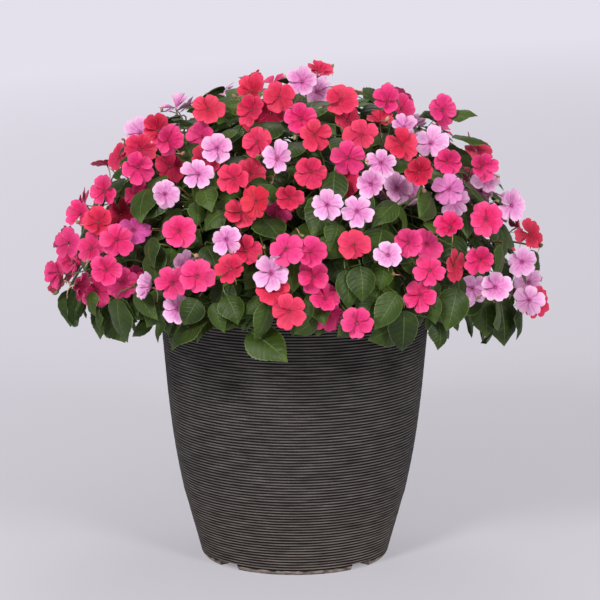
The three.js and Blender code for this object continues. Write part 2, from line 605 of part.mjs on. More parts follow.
/**
 * Sets all blooms as near as they fit to where they are wanted. The blades come first, each sinking until
 * it clears the others, and then the stalks. A bloom whose stalk finds no way sinks on till it does.
 */
function placeBlooms(stems, spots) {
  const steps = Array.from({ length: SINK_STEPS + 1 }, (_, step) => step);
  const settled = [];
  for (const spot of spots) {
    const blade = steps.map((step) => bloomBlade(spot, step)).find(plateIsClear);
    if (!blade) continue;
    plates.push(blade);
    settled.push({ spot, blade });
  }
  const stranded = [];
  for (const { spot, blade } of settled) {
    const stalk = findFlowerStalk(stems, spot.colour, blade);
    if (stalk) keepBloom(stalk, blade, spot.key);
    else stranded.push({ spot, blade });
  }
  for (const { spot, blade } of stranded) {
    plates.splice(plates.indexOf(blade), 1);
    for (const other of steps.map((step) => bloomBlade(spot, step)).filter(plateIsClear)) {
      const stalk = findFlowerStalk(stems, spot.colour, other);
      if (!stalk) continue;
      plates.push(other);
      keepBloom(stalk, other, spot.key);
      break;
    }
  }
}

function drawnBlooms() {
  const spots = [];
  for (const [colour, rows] of Object.entries(DRAWN_BLOOMS)) {
    rows.forEach(([x, y, right, up, layer]) => {
      const line = sightLine(x, y);
      const viewUp = squareTo(UP, line);
      const towards = Math.sqrt(Math.max(1 - right * right - up * up, LEAST_TOWARDS));
      const facing = along(new Vector3(right, 0, 0), [viewUp, up], [line, -towards]).normalize();
      const key = x * 1000 + y;
      spots.push({ eye: seenAt(x, y, 1 - LAYER_DEPTH * layer), facing, deeper: line, colour, key, layer });
    });
  }
  return spots.sort((one, other) => one.layer - other.layer);
}

function latticeBlooms() {
  const spots = [];
  for (let i = 0; i < BLOOM_LATTICE; i++) {
    const sine = between([LOWEST_BLOOM, 1], (i + 0.5) / BLOOM_LATTICE);
    const share = 1 - BLOOM_DEPTH * draw(i, 5);
    const eye = crownPoint(sine, i * GOLDEN_ANGLE + BLOOM_STRAY * draw(i, 4), share);
    if (isDrawnSide(eye)) continue;
    const facing = outwardAt(eye);
    const tilt = new Vector3(draw(i, 6) - 0.5, draw(i, 7) - 0.5, draw(i, 8) * 0.5);
    facing.addScaledVector(tilt, BLOOM_TILT).normalize();
    const choice = draw(i, 9);
    const colour = COLOURS.find((_, k) => choice < COLOUR_STOPS[k]);
    spots.push({ eye, facing, deeper: outwardAt(eye).negate(), colour, key: i });
  }
  return spots;
}

// ---- Placing leaves --------------------------------------------------------------------------------

function findLeafStalk(stems, base, blade) {
  const near = [...stems].sort((one, other) => one.joint.distanceTo(base) - other.joint.distanceTo(base));
  for (const stem of near.slice(0, STEMS_TRIED)) {
    const [below, middle, tip] = stem.path.slice(-3);
    const slip = ROOT_SLIP * draw(blade.a * 1000, stem.leaves.length);
    const roots = UPPER_ROOTS.map((share) => middle.clone().lerp(tip, share + slip));
    roots.push(...LOWER_ROOTS.map((share) => below.clone().lerp(middle, share + slip)));
    const behind = blade.ahead.clone().negate();
    const bends = PETIOLE_BENDS.map((length) => [length, along(base, [behind, length])]);
    for (const root of roots) {
      for (const [length, bend] of bends) {
        const home = root.clone().sub(base).normalize();
        if (length === 0 && home.dot(behind) < LEAST_SLANT) continue;
        const path = length === 0 ? [base, root] : [base, bend, root];
        const owner = `stem ${stem.name}`;
        if (stalkIsClear(path, STALK_RADIUS, owner, null, blade)) return { stem, path, owner };
      }
    }
  }
  return null;
}

function placeLeaf(stems, { base, tip, width, face, deeper, key, steps = SINK_STEPS }) {
  const length = base.distanceTo(tip);
  const forward = tip.clone().sub(base).normalize();
  for (let step = 0; step <= steps; step++) {
    for (const twist of LEAF_TWISTS) {
      const normal = squareTo(face, forward).applyAxisAngle(forward, twist);
      const shifted = along(base, [deeper, step * SINK_STEP]);
      const centre = along(shifted, [forward, length / 2], [normal, LEAF_ARCH / 3]);
      const blade = plate(centre, length, width, forward, normal);
      if (!plateIsClear(blade)) continue;
      const stalk = findLeafStalk(stems, shifted, blade);
      if (!stalk) continue;
      plates.push(blade);
      keepStalk(stalk.path, STALK_RADIUS, stalk.owner);
      stalk.stem.leaves.push({ base: shifted, length, width, forward, normal, path: stalk.path, key });
      return true;
    }
  }
  return false;
}

function drawnLeaves() {
  return DRAWN_LEAVES.map(([baseX, baseY, tipX, tipY, width]) => {
    const base = seenAt(baseX, baseY, LEAF_BASE_SHARE);
    const tip = seenAt(tipX, tipY, LEAF_TIP_SHARE);
    const scale = base.distanceTo(VIEWER) / FOCUS;
    const longest = MOST_SLOPING * Math.hypot(baseX - tipX, baseY - tipY) * scale;
    if (base.distanceTo(tip) > longest) tip.sub(base).setLength(longest).add(base);
    const face = outwardAt(base).addScaledVector(UP, DRAWN_LEAF_LIFT);
    const deeper = sightLine(baseX, baseY);
    return { base, tip, width: width * scale, face, deeper, key: baseX * 1000 + baseY };
  });
}

/** Leaves that hang down all round, below the widest level of the crown. */
function skirtLeaves() {
  const spots = [];
  for (let i = 0; i < SKIRT_LEAVES; i++) {
    const azimuth = ((i + draw(i, 11) / 2) / SKIRT_LEAVES) * 2 * Math.PI;
    const base = crownPoint(between(SKIRT_SINES, draw(i, 12)), azimuth, SKIRT_SHARE);
    if (isDrawnSide(base)) continue;
    const length = between(SKIRT_LEAF_LENGTHS, draw(i, 13));
    const out = outwardAt(base);
    const sideways = out.clone().cross(UP).normalize();
    const hang = along(UP.clone().negate(), [out, SKIRT_FLARE], [sideways, draw(i, 14) - 0.5]).normalize();
    const tip = along(base, [hang, length]);
    const width = length * LEAF_SLENDERNESS;
    spots.push({ base, tip, width, face: out, deeper: out.clone().negate(), key: SKIRT_KEYS + i });
  }
  return spots;
}

function latticeLeaves() {
  const spots = [];
  for (let i = 0; i < LEAF_LATTICE; i++) {
    const sine = between([LOWEST_LEAF, 0.99], ((i + 0.5) / LEAF_LATTICE) ** CROWDING_UP);
    const base = crownPoint(sine, i * GOLDEN_ANGLE + LEAF_TURN + LEAF_STRAY * draw(i, 21), LEAF_SHARE);
    const out = outwardAt(base);
    const downhill = squareTo(UP.clone().negate(), out);
    const heading = downhill.applyAxisAngle(out, (draw(i, 22) - 0.5) * LEAF_FAN);
    heading.addScaledVector(out, LEAF_FLARE).normalize();
    const length = between(LATTICE_LEAF_LENGTHS, draw(i, 23));
    const tip = along(base, [heading, length]);
    const face = out.clone().addScaledVector(UP, LEAF_LIFT);
    const width = length * LEAF_SLENDERNESS;
    const steps = LATTICE_LEAF_STEPS;
    spots.push({ base, tip, width, face, deeper: out.clone().negate(), key: LATTICE_KEYS + i, steps });
  }
  return spots;
}

// ---- Shapes of the crown's pieces ------------------------------------------------------------------

/** Three corners of a stalk where it passes centre and runs on along away. */
function stalkSection(centre, away, side, radius) {
  const u = squareTo(side, away);
  const v = u.clone().cross(away);
  return [1, 5, 9].map((hour) => {
    const angle = (hour * Math.PI) / 6;
    return along(centre, [u, Math.cos(angle) * radius], [v, Math.sin(angle) * radius]);
  });
}

/** Adds the walls of a stalk to a mesh, from one open triangle ring to the one at its root. */
function growStalk(points, faces, ring, path, side) {
  let last = ring;
  for (let i = 1; i < path.length; i++) {
    const ahead = (path[i + 1] ?? path[i]).clone().sub(path[i - 1]).normalize();
    const radius = i + 1 < path.length ? STALK_RADIUS : STALK_ROOT_RADIUS;
    const next = stalkSection(path[i], ahead, side, radius).map((point) => points.push(point) - 1);
    for (let k = 0; k < 3; k++) {
      const after = (k + 1) % 3;
      faces.push([last[after], last[k], next[k]], [last[after], next[k], next[after]]);
    }
    last = next;
  }
  return last;
}

/** Adds a bloom to a mesh: five notched petals round its eye, closed behind, on a stalk open at its root. */
function growBloom(points, faces, { blade, way, key }) {
  const { centre, face, ahead, across, a: radius } = blade;
  const eye = points.push(along(centre, [face, -BLOOM_DISH / 2])) - 1;
  const ring = [];
  const wave = (petal, turn) => BLOOM_WAVE * (draw(key, petal, turn) - BLOOM_DROOP);
  for (let petal = 0; petal < PETALS; petal++) {
    const middle = (petal * 2 * Math.PI) / PETALS;
    const rows = [
      [middle - Math.PI / PETALS, NOTCH_DEPTH * radius, 0],
      [middle - PETAL_SHOULDER, radius * (1 - PETAL_UNEVEN * draw(key, petal, 1)), wave(petal, 2)],
      [middle + PETAL_SHOULDER, radius * (1 - PETAL_UNEVEN * draw(key, petal, 3)), wave(petal, 4)],
    ];
    for (const [angle, reach, lift] of rows) {
      const steps = [[ahead, Math.cos(angle) * reach], [across, Math.sin(angle) * reach], [face, lift]];
      ring.push(points.push(along(centre, ...steps)) - 1);
    }
  }
  const start = along(centre, [face, -BLOOM_DISH / 2 - BLOOM_THICKNESS]);
  const back = stalkSection(start, face.clone().negate(), ahead, STALK_RADIUS);
  const stalk = back.map((point) => points.push(point) - 1);
  const count = ring.length;
  const first = ring.length / 3;
  for (let i = 0; i < count; i++) {
    const next = ring[(i + 1) % count];
    faces.push([eye, ring[i], next]);
    const corner = Math.floor(i / first);
    faces.push([next, ring[i], stalk[corner]]);
    if ((i + 1) % first === 0) faces.push([next, stalk[corner], stalk[(corner + 1) % 3]]);
  }
  return growStalk(points, faces, stalk, [start, ...way.slice(1)], ahead);
}

/** A spray: the joint is the convex body that just holds the roots of its stalks and its own foot. */
function spraySolid({ joint, heading, blooms }) {
  const points = [];
  const faces = [];
  const roots = blooms.map((bloom) => growBloom(points, faces, bloom));
  const foot = points.push(along(joint, [heading, -JOINT_FOOT])) - 1;
  const corners = [...roots.flat(), foot];
  const hull = new ConvexHull().setFromPoints(corners.map((corner) => points[corner]));
  const stalkOf = (corner) => roots.findIndex((root) => root.includes(corner));
  for (const { edge } of hull.faces) {
    const heads = [edge, edge.next, edge.prev].map((side) => points.indexOf(side.head().point));
    const isRoot = heads.every((corner) => stalkOf(corner) >= 0 && stalkOf(corner) === stalkOf(heads[0]));
    if (!isRoot) faces.push(heads);
  }
  return solidOf(points, faces);
}

/** A pointed oval leaf, arched and with a waved edge, on its stalk. */
function leafSolid({ base, length, width, forward, normal, path, key }) {
  const across = normal.clone().cross(forward);
  const hub = along(base, [forward, LEAF_HUB * length], [normal, LEAF_ARCH]);
  const points = [hub, along(hub, [normal, -LEAF_THICKNESS])];
  const section = stalkSection(base, forward.clone().negate(), across, STALK_RADIUS);
  const [left, right, under] = section.map((point) => points.push(point) - 1);
  const edge = (hand) => LEAF_SIDE.map(([share, spread], i) => {
    const wave = LEAF_WAVE * (i % 2 ? -1 : 1) * (0.5 + draw(key, i, hand + 5));
    const steps = [[forward, share * length], [across, (hand * spread * width) / 2], [normal, wave]];
    return points.push(along(base, ...steps)) - 1;
  });
  const tip = points.push(along(base, [forward, length], [normal, -LEAF_WAVE])) - 1;
  const ring = [right, ...edge(-1), tip, ...edge(1).reverse(), left];
  const faces = [[0, left, right], [under, left, 1], [right, under, 1]];
  for (let i = 1; i < ring.length; i++) {
    faces.push([0, ring[i - 1], ring[i]], [ring[i], ring[i - 1], 1]);
  }
  const root = growStalk(points, faces, [left, right, under], path, across);
  faces.push([root[0], root[2], root[1]]);
  return solidOf(points, faces);
}

/** A tapering stem along its path, with flat ends. */
function stemSolid({ path }) {
  const points = [];
  const faces = [];
  let side = new Vector3(1, 0, 0);
  path.forEach((centre, k) => {
    const from = path[Math.max(k - 1, 0)];
    const to = path[Math.min(k + 1, path.length - 1)];
    const heading = to.clone().sub(from).normalize();
    side = squareTo(side, heading);
    const other = heading.clone().cross(side);
    for (let i = 0; i < STEM_SIDES; i++) {
      const angle = (i / STEM_SIDES) * 2 * Math.PI;
      const [u, v] = [Math.cos(angle) * STEM_RADII[k], Math.sin(angle) * STEM_RADII[k]];
      points.push(along(centre, [side, u], [other, v]));
    }
  });
  for (let k = 0; k + 1 < path.length; k++) {
    for (let i = 0; i < STEM_SIDES; i++) {
      const [a, b] = [k * STEM_SIDES + i, k * STEM_SIDES + ((i + 1) % STEM_SIDES)];
      faces.push([a, b, b + STEM_SIDES], [a, b + STEM_SIDES, a + STEM_SIDES]);
    }
  }
  const top = (path.length - 1) * STEM_SIDES;
  for (let i = 1; i + 1 < STEM_SIDES; i++) faces.push([0, i + 1, i], [top, top + i, top + i + 1]);
  return solidOf(points, faces);
}

// ---- Putting it together ---------------------------------------------------------------------------

const MATERIALS = {
  pot: { color: 0x34312f, roughness: 0.75, metalness: 0 },
  soil: { color: 0x35281e, roughness: 0.95, metalness: 0 },
  leaf: { color: 0x3f5f2e, roughness: 0.5, metalness: 0 },
  rose: { color: 0xe93f86, roughness: 0.55, metalness: 0 },
  coral: { color: 0xe83a55, roughness: 0.55, metalness: 0 },
  pale: { color: 0xf0b4e4, roughness: 0.55, metalness: 0 },
};

const busyLizzie = new THREE.Group();

function addPiece(name, solid, material) {
  const mesh = new THREE.Mesh(geometryOf(solid), new THREE.MeshStandardMaterial(MATERIALS[material]));
  mesh.name = name;
  busyLizzie.add(mesh);
}

const stems = layOutStems();
placeBlooms(stems, [...drawnBlooms(), ...latticeBlooms()]);
for (const spot of [...drawnLeaves(), ...skirtLeaves(), ...latticeLeaves()]) placeLeaf(stems, spot);

addPiece("pot", potSolid(), "pot");
addPiece("soil", soilSolid(stems), "soil");
for (const stem of stems) {
  addPiece(`leafy_stem_${stem.name}`, fuse([stemSolid(stem), ...stem.leaves.map(leafSolid)]), "leaf");
  addPiece(`${stem.colour}_blooms_${stem.name}`, spraySolid(stem), stem.colour);
}

export default busyLizzie;
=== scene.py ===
# %% [markdown]
# # A busy lizzie in its ribbed pot
# A busy lizzie is a bedding plant that grows as a dome of soft, juicy stems. Leaves close the dome, and
# flat blooms of five petals lie all over it. This one fills a tapered patio pot that is turned with fine
# level ribs.
#
# The frame brings one plain solid for the pot, the soil, each leafy stem and each spray of blooms. They
# already have their real sizes and places. Each step below takes one kind of piece, reads where the
# solids put it, and makes it again in fine detail. The lights and the camera come last.

import math

import bmesh
import bpy
import numpy as np
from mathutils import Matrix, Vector


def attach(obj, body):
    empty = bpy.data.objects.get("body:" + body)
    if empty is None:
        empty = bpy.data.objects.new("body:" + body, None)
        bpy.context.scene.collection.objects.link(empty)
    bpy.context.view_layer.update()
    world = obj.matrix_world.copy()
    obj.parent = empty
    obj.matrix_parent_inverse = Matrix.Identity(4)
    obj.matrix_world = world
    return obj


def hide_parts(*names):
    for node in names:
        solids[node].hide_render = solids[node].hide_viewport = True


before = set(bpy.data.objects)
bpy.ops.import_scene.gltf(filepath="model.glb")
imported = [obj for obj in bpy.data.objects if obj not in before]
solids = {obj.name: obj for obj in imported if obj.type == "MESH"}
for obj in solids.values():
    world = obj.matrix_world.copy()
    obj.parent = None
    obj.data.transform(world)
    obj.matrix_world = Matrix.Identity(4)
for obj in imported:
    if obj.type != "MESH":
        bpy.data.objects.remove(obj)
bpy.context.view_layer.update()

MM = 0.001  # the frame is in metres
print(len(solids), "solids")

# %% [markdown]
# ## Sums of sockets
# A finish is a tree of nodes, and most of its nodes only add, multiply or compare. Drawn by hand, each of
# them is one Math node. They could be made one call at a time, but a sum such as `1 - vein * 0.4` is far
# easier to read. So one small class wraps a socket, and Python's own operators add the Math nodes.

# %% A socket that can stand in a sum


class Shade:
    """One output in a finish's node tree. Numbers alone are worked out before they get here."""

    def __init__(self, finish, socket):
        self.finish = finish
        self.socket = socket

    def math(self, operation, *values):
        return self.finish.node("ShaderNodeMath", {"operation": operation}, dict(enumerate(values)))

    def __add__(self, other):
        return self.math("ADD", self, other)

    def __radd__(self, other):
        return self.math("ADD", other, self)

    def __sub__(self, other):
        return self.math("SUBTRACT", self, other)

    def __rsub__(self, other):
        return self.math("SUBTRACT", other, self)

    def __mul__(self, other):
        return self.math("MULTIPLY", self, other)

    def __rmul__(self, other):
        return self.math("MULTIPLY", other, self)

    def __pow__(self, other):
        return self.math("POWER", self, other)

    def __rpow__(self, other):
        return self.math("POWER", other, self)

    def __abs__(self):
        return self.math("ABSOLUTE", self)

    def cosine(self):
        return self.math("COSINE", self)

    def zigzag(self, height):
        """Up to a height and back to 0, over and over, at a slope of 1."""
        return self.math("PINGPONG", self, height)


# %% [markdown]
# ## A finish, node by node
# Every finish here is a recipe: its colour and bumps come from noise and from two attributes that each mesh
# carries. *place* says where on a petal or a leaf a point lies, along it, across it, and on which face.
# *tint* holds random numbers that make one bloom or leaf a little different from the next. A picture could
# be wrapped round every leaf instead, but then all of them would look alike. Colours go through Mix nodes,
# because a Math node would turn them grey.

# %% Paints


def paint(code):
    """A colour code such as 2f4a28 as the linear colour that a shader wants."""
    shares = [int(code[i : i + 2], 16) / 255 for i in (0, 2, 4)]
    return (*[s / 12.92 if s <= 0.04045 else ((s + 0.055) / 1.055) ** 2.4 for s in shares], 1)


print("the paint 2f4a28 is", [round(v, 3) for v in paint("2f4a28")])

# %% Finishes


class Finish:
    """A material that is put together one node at a time."""

    def __init__(self, name):
        self.material = bpy.data.materials.new(name)
        self.material.use_nodes = True
        self.tree = self.material.node_tree
        self.tree.nodes.clear()

    def node(self, kind, settings=None, sockets=None, output=0):
        """A new node: its settings first, then the values or links of its sockets."""
        made = self.tree.nodes.new(kind)
        for name, value in (settings or {}).items():
            setattr(made, name, value)
        for name, value in (sockets or {}).items():
            if isinstance(value, Shade):
                self.tree.links.new(value.socket, made.inputs[name])
            else:
                made.inputs[name].default_value = value
        return Shade(self, made.outputs[output]) if made.outputs else None

    def attribute(self, name):
        """The three numbers that the mesh keeps under this name."""
        vector = self.node("ShaderNodeAttribute", {"attribute_name": name}, output="Vector")
        return [self.node("ShaderNodeSeparateXYZ", sockets={0: vector}, output=i) for i in range(3)]

    def mix(self, share, first, second):
        """A colour between two. Each is the code of a paint or an earlier mix."""
        first, second = [paint(colour) if isinstance(colour, str) else colour for colour in (first, second)]
        return self.node("ShaderNodeMix", {"data_type": "RGBA"}, {0: share, 6: first, 7: second}, output=2)

    def coats(self, colour, layers):
        """A colour with paints laid over it, each with the share of it that the paint covers."""
        for share, coat in layers:
            colour = self.mix(share, colour, coat)
        return colour

    def ease(self, value, low, high):
        """0 below low, 1 above high, and a smooth rise between."""
        limits = {"Value": value, "From Min": low, "From Max": high}
        return self.node("ShaderNodeMapRange", {"interpolation_type": "SMOOTHSTEP"}, limits)

    def noise(self, scale, detail=3.0, stretch=None):
        """Cloudy noise from 0 to 1. stretch scales it by axis."""
        where = self.node("ShaderNodeTexCoord", output="Object")
        if stretch:
            where = self.node("ShaderNodeVectorMath", {"operation": "MULTIPLY"}, {0: where, 1: stretch})
        return self.node("ShaderNodeTexNoise", sockets={"Vector": where, "Scale": scale, "Detail": detail})

    def bump(self, height, distance):
        sockets = {"Height": height, "Distance": distance}
        return self.node("ShaderNodeBump", sockets=sockets, output="Normal")

    def close(self, **sockets):
        """Ends the tree in a surface, with the names of its sockets written as words."""
        named = {name.replace("_", " "): value for name, value in sockets.items()}
        surface = self.node("ShaderNodeBsdfPrincipled", sockets=named)
        self.node("ShaderNodeOutputMaterial", sockets={"Surface": surface})
        print("finish", self.material.name, "of", len(self.tree.nodes), "nodes")
        return self.material


# %% [markdown]
# ## The petals' finishes
# A petal is velvety and matt. Its colour is strongest at the heart, where fine veins run out from a dark
# eye, and it pales towards the rim and on its back. Shade is painted in too: a few petals are darker at
# random, and the heart's colour darkens the crease and the sides where the petals lap. All petals could
# share one paint, but no two blooms of a real plant are quite the same. So one recipe serves the three
# colours of bloom, with eight paints for each. The attribute *place* is below 0 on the parts of the heart:
# -1 in the throat and -2 on the pale cap of stamens.

# %% The paints of rose, coral and pale petals
# For each colour of bloom: its body and two other bodies, then its heart, which is also laid on as painted
# shade, rim, back, throat and cap.
PETAL_PAINTS = {
    "rose": ("e01a66", "da2c78", "cc50a2", "a80c40", "f44a8c", "d44c84", "460a1e", "d8a494"),
    "coral": ("c8193f", "cc1f54", "cc1b37", "a60a2a", "ec3c62", "d0486a", "480a14", "d89a84"),
    "pale": ("e08ac4", "e8a2d4", "d676b6", "b0207a", "f2c4e4", "d08ebc", "5c083c", "e4c8c4"),
}
print(len(PETAL_PAINTS), "colours of bloom, of", len(PETAL_PAINTS["rose"]), "paints each")

# %% Their coats
PETAL_VEINS = 13  # across one petal


def petal_finish(colour):
    """The finish of one colour of bloom: the paint of its body, and the others laid over it."""
    body, other_body, odd_body, heart, rim, back, throat, cap = PETAL_PAINTS[colour]
    finish = Finish(colour + "_petal")
    along, across, side = finish.attribute("place")
    bloom, petal, odd = finish.attribute("tint")
    cloud = finish.noise(170, 2)
    vein = finish.ease((across * (PETAL_VEINS * math.pi)).cosine(), 0.45, 1.0)
    near_heart = 1 - finish.ease(along + cloud * 0.3, 0.3, 1.05)
    # The middle of a petal, which is darkened along its crease.
    crease = 1 - finish.ease(abs(across), 0.0, 0.22)
    # The sides of a petal, where painted shade falls as they lap under their neighbours.
    lapped_shade = finish.ease(abs(across), 0.55, 0.95)
    depth = 0 - along
    layers = [
        (finish.ease(bloom, 0.0, 1.0), other_body),  # each bloom lies between the two
        (finish.ease(along + cloud * 0.35 + petal * 0.2, 0.7, 1.35), rim),
        (odd * 0.85, odd_body),
        # Painted shade: a few petals are darker at random, as if turned from the light.
        (petal * petal * 0.3, heart),  # a few petals are deeper
        (vein * near_heart * 0.3, heart),
        # A darker line down each petal's middle near the heart: partly its own colour, partly painted shade
        # in the crease.
        (crease * (1 - finish.ease(along, 0.3, 1.0)) * 0.35, heart),
        # Painted shade at the sides near the foot, where the petals lap.
        (lapped_shade * (1 - along * 0.8) * 0.4, heart),
        ((1 - finish.ease(along, 0.02, 0.26)) * 0.85, heart),  # the eye
        ((1 - side) * 0.8, back),
        (finish.ease(depth, 0.4, 0.8), throat),
        (finish.ease(depth, 1.4, 1.8), cap),
    ]
    pleat = (across * 14 + petal * 6).cosine() * finish.ease(along, 0.1, 0.8)
    height = finish.noise(900, 2) * 0.12 - vein * 0.08 + pleat * 0.13 + finish.noise(260, 2) * 0.6
    return finish.close(
        Base_Color=finish.coats(body, layers),
        Roughness=0.5,
        Specular_IOR_Level=0.28,
        Sheen_Weight=0.08,
        Sheen_Roughness=0.5,
        Subsurface_Weight=0.08,
        Subsurface_Radius=(0.004, 0.0015, 0.0015),
        Subsurface_Scale=1.0,
        Normal=finish.bump(height, 1.2 * MM),
    )


petal_finishes = {colour: petal_finish(colour) for colour in PETAL_PAINTS}

# %% [markdown]
# ## The leaves' finish
# The blade is dark and satiny, with a pale midrib, side veins that curve towards the tip and a thin pale
# margin. Veins could be drawn on a picture of a leaf, but they are as easily counted. Each side vein starts
# at the midrib and bends forward, so the place along the blade is shifted by how far out the point lies,
# and a zigzag of that shifted place gives evenly spaced veins. The blade bulges between them. The mesh
# uses the same count, so its bulges meet the painted veins, and the bump sharpens them.

# %% Leaf blades
LEAF_VEINS = 7  # pairs of side veins
VEIN_SWEEP = 0.3  # of the blade's length, from the midrib to the margin


def veins_passed(along, out):
    """How many side veins lie before a point. It counts for sockets and for arrays of numbers."""
    return (along - out**1.3 * VEIN_SWEEP * (1 - along * 0.5)) * LEAF_VEINS


def leaf_finish():
    finish = Finish("leaf_blade")
    along, across, side = finish.attribute("place")
    fresh, own, _ = finish.attribute("tint")
    cloud = finish.noise(60, 3)
    out = abs(across)
    from_vein = veins_passed(along, out).zigzag(0.5)
    vein = 1 - finish.ease(from_vein + cloud * 0.02, 0.0, 0.09)
    midrib = 1 - finish.ease(out, 0.012, 0.05)
    layers = [
        (finish.ease(cloud + own * 0.5, 0.35, 1.05), "364a14"),
        (finish.ease(fresh, 0.2, 1.0), "48601c"),
        (finish.ease(along + cloud * 0.3, 0.9, 1.25) * 0.4, "6f8b3c"),  # the tip
        (vein * 0.09, "7f9c54"),
        (midrib * 0.22, "93aa62"),
        (finish.ease(out, 0.93, 0.99) * 0.4, "87a050"),  # the margin
        ((1 - side) * 0.7, "6a8450"),  # the underside
    ]
    height = finish.ease(from_vein, 0.0, 0.3) * 0.8 + finish.noise(420, 3) * 0.3 - midrib * 0.6
    return finish.close(
        Base_Color=finish.coats("20300a", layers),
        Roughness=0.4 + finish.noise(90, 2) * 0.14,
        Specular_IOR_Level=0.27,
        Normal=finish.bump(height, 0.3 * MM),
    )


leaf_material = leaf_finish()

# %% [markdown]
# ## Stalks, spurs and buds
# The stems are watery and almost see-through, green with a red flush. The buds and the thin spurs behind
# the blooms are the colour of cream and peach. They could have a finish of their own, but the change from
# stalk to bud is gradual, so one finish serves them all: the first number of *tint* goes from green at 0
# to blush at 1.

# %% Stalks


def stalk_finish():
    finish = Finish("soft_stalk")
    blush, own, _ = finish.attribute("tint")
    cloud = finish.noise(140, 3)
    layers = [
        (finish.ease(cloud + own * 0.4, 0.4, 1.1), "7a4c38"),  # the red flush
        (finish.ease(blush, 0.1, 0.9), "d8a888"),
    ]
    return finish.close(
        Base_Color=finish.coats("4f6c2e", layers),
        Roughness=0.36,
        Subsurface_Weight=0.15,
        Subsurface_Radius=(0.002, 0.002, 0.001),
        Subsurface_Scale=1.0,
        Normal=finish.bump(finish.noise(300, 2), 0.3 * MM),
    )


stalk_material = stalk_finish()

# %% [markdown]
# ## Reading the solids
# A solid from the frame comes with a corner of its own for every face, so equal corners are joined first.
# Then the faces round each point tell what the point is. The eye of a bloom has fifteen points round it,
# a notch and two shoulders for each petal. The middle of a leaf's upper side has nine, and the shortest
# step between two of them is the base, where the stalk comes in. Reading the shapes this way keeps every
# bloom and leaf exactly where the solid has it, with no list of places typed in.

# %% Joined corners and the rings round them
SAME_POINT = 0.01 * MM


def unit(vector):
    return vector / np.linalg.norm(vector)


def joined(solid):
    """The points of a solid, and its triangles as numbers of points."""
    mesh = solid.data
    mesh.calc_loop_triangles()
    points = np.empty(len(mesh.vertices) * 3, np.float32)
    mesh.vertices.foreach_get("co", points)
    points = points.reshape(-1, 3)
    corners = np.empty(len(mesh.loop_triangles) * 3, np.int32)
    mesh.loop_triangles.foreach_get("vertices", corners)
    snapped = np.round(points / SAME_POINT).astype(np.int64)
    _, first, same = np.unique(snapped, axis=0, return_index=True, return_inverse=True)
    triangles = same.ravel()[corners].reshape(-1, 3)
    has_area = (triangles != np.roll(triangles, 1, axis=1)).all(axis=1)
    return points[first].astype(float), triangles[has_area]


def steps_round(triangles):
    """For each point and each neighbour of it, the next neighbour, counter-clockwise from outside."""
    steps = {}
    for a, b, c in triangles.tolist():
        steps.setdefault(a, {})[b] = c
        steps.setdefault(b, {})[c] = a
        steps.setdefault(c, {})[a] = b
    return steps


def ring_of(steps):
    """The neighbours of one point in order, or nothing where its faces don't close round it."""
    ring = [next(iter(steps))]
    while len(ring) < len(steps):
        ring.append(steps.get(ring[-1]))
        if ring[-1] is None or ring[-1] in ring[:-1]:
            return []
    return ring


points, triangles = joined(solids["pot"])
print("the pot's solid:", len(solids["pot"].data.vertices), "corners become", len(points), "points")

# %% Blooms in a solid
PETALS = 5
RIM_POINTS = 3  # for each petal: a notch and two shoulders
BLOOM_REACH = (12 * MM, 26 * MM)  # from the eye to the rim
SHOULDER = 0.37  # radians from the middle of a petal


def find_blooms(points, triangles):
    """The blooms of a spray, and which triangles are their blades."""
    steps = steps_round(triangles)
    blooms, blade = [], np.zeros(len(triangles), bool)
    for eye, around in steps.items():
        ring = np.array(ring_of(around))
        if len(ring) != RIM_POINTS * PETALS:
            continue
        spokes = points[ring] - points[eye]
        reach = np.linalg.norm(spokes, axis=1)
        if reach.min() < BLOOM_REACH[0] or reach.max() > BLOOM_REACH[1]:
            continue
        notch = min(range(RIM_POINTS), key=lambda k: reach[k::RIM_POINTS].sum())
        ring = np.roll(ring, -notch)
        rim = points[ring]
        front = unit(np.cross(rim, np.roll(rim, -1, axis=0)).sum(axis=0))
        petals = (rim[1::RIM_POINTS] + rim[2::RIM_POINTS]) / 2 - points[eye]
        rises = petals @ front
        flat = petals - rises[:, None] * front
        petals = flat / math.cos(SHOULDER)
        blooms.append({"eye": points[eye], "front": front, "petals": petals, "rises": rises})
        blade |= np.isin(triangles, ring).any(axis=1)
    return blooms, blade


print("the first spray has", len(find_blooms(*joined(solids["rose_blooms_01"]))[0]), "blooms")

# %% Leaves in a solid
LEAF_RING = 9  # two points at the base, three on each side and the tip
SHORT_BASE = 3.6 * MM  # the longest that the base may be
NEAREST_RIM = 8 * MM  # from the middle of a leaf


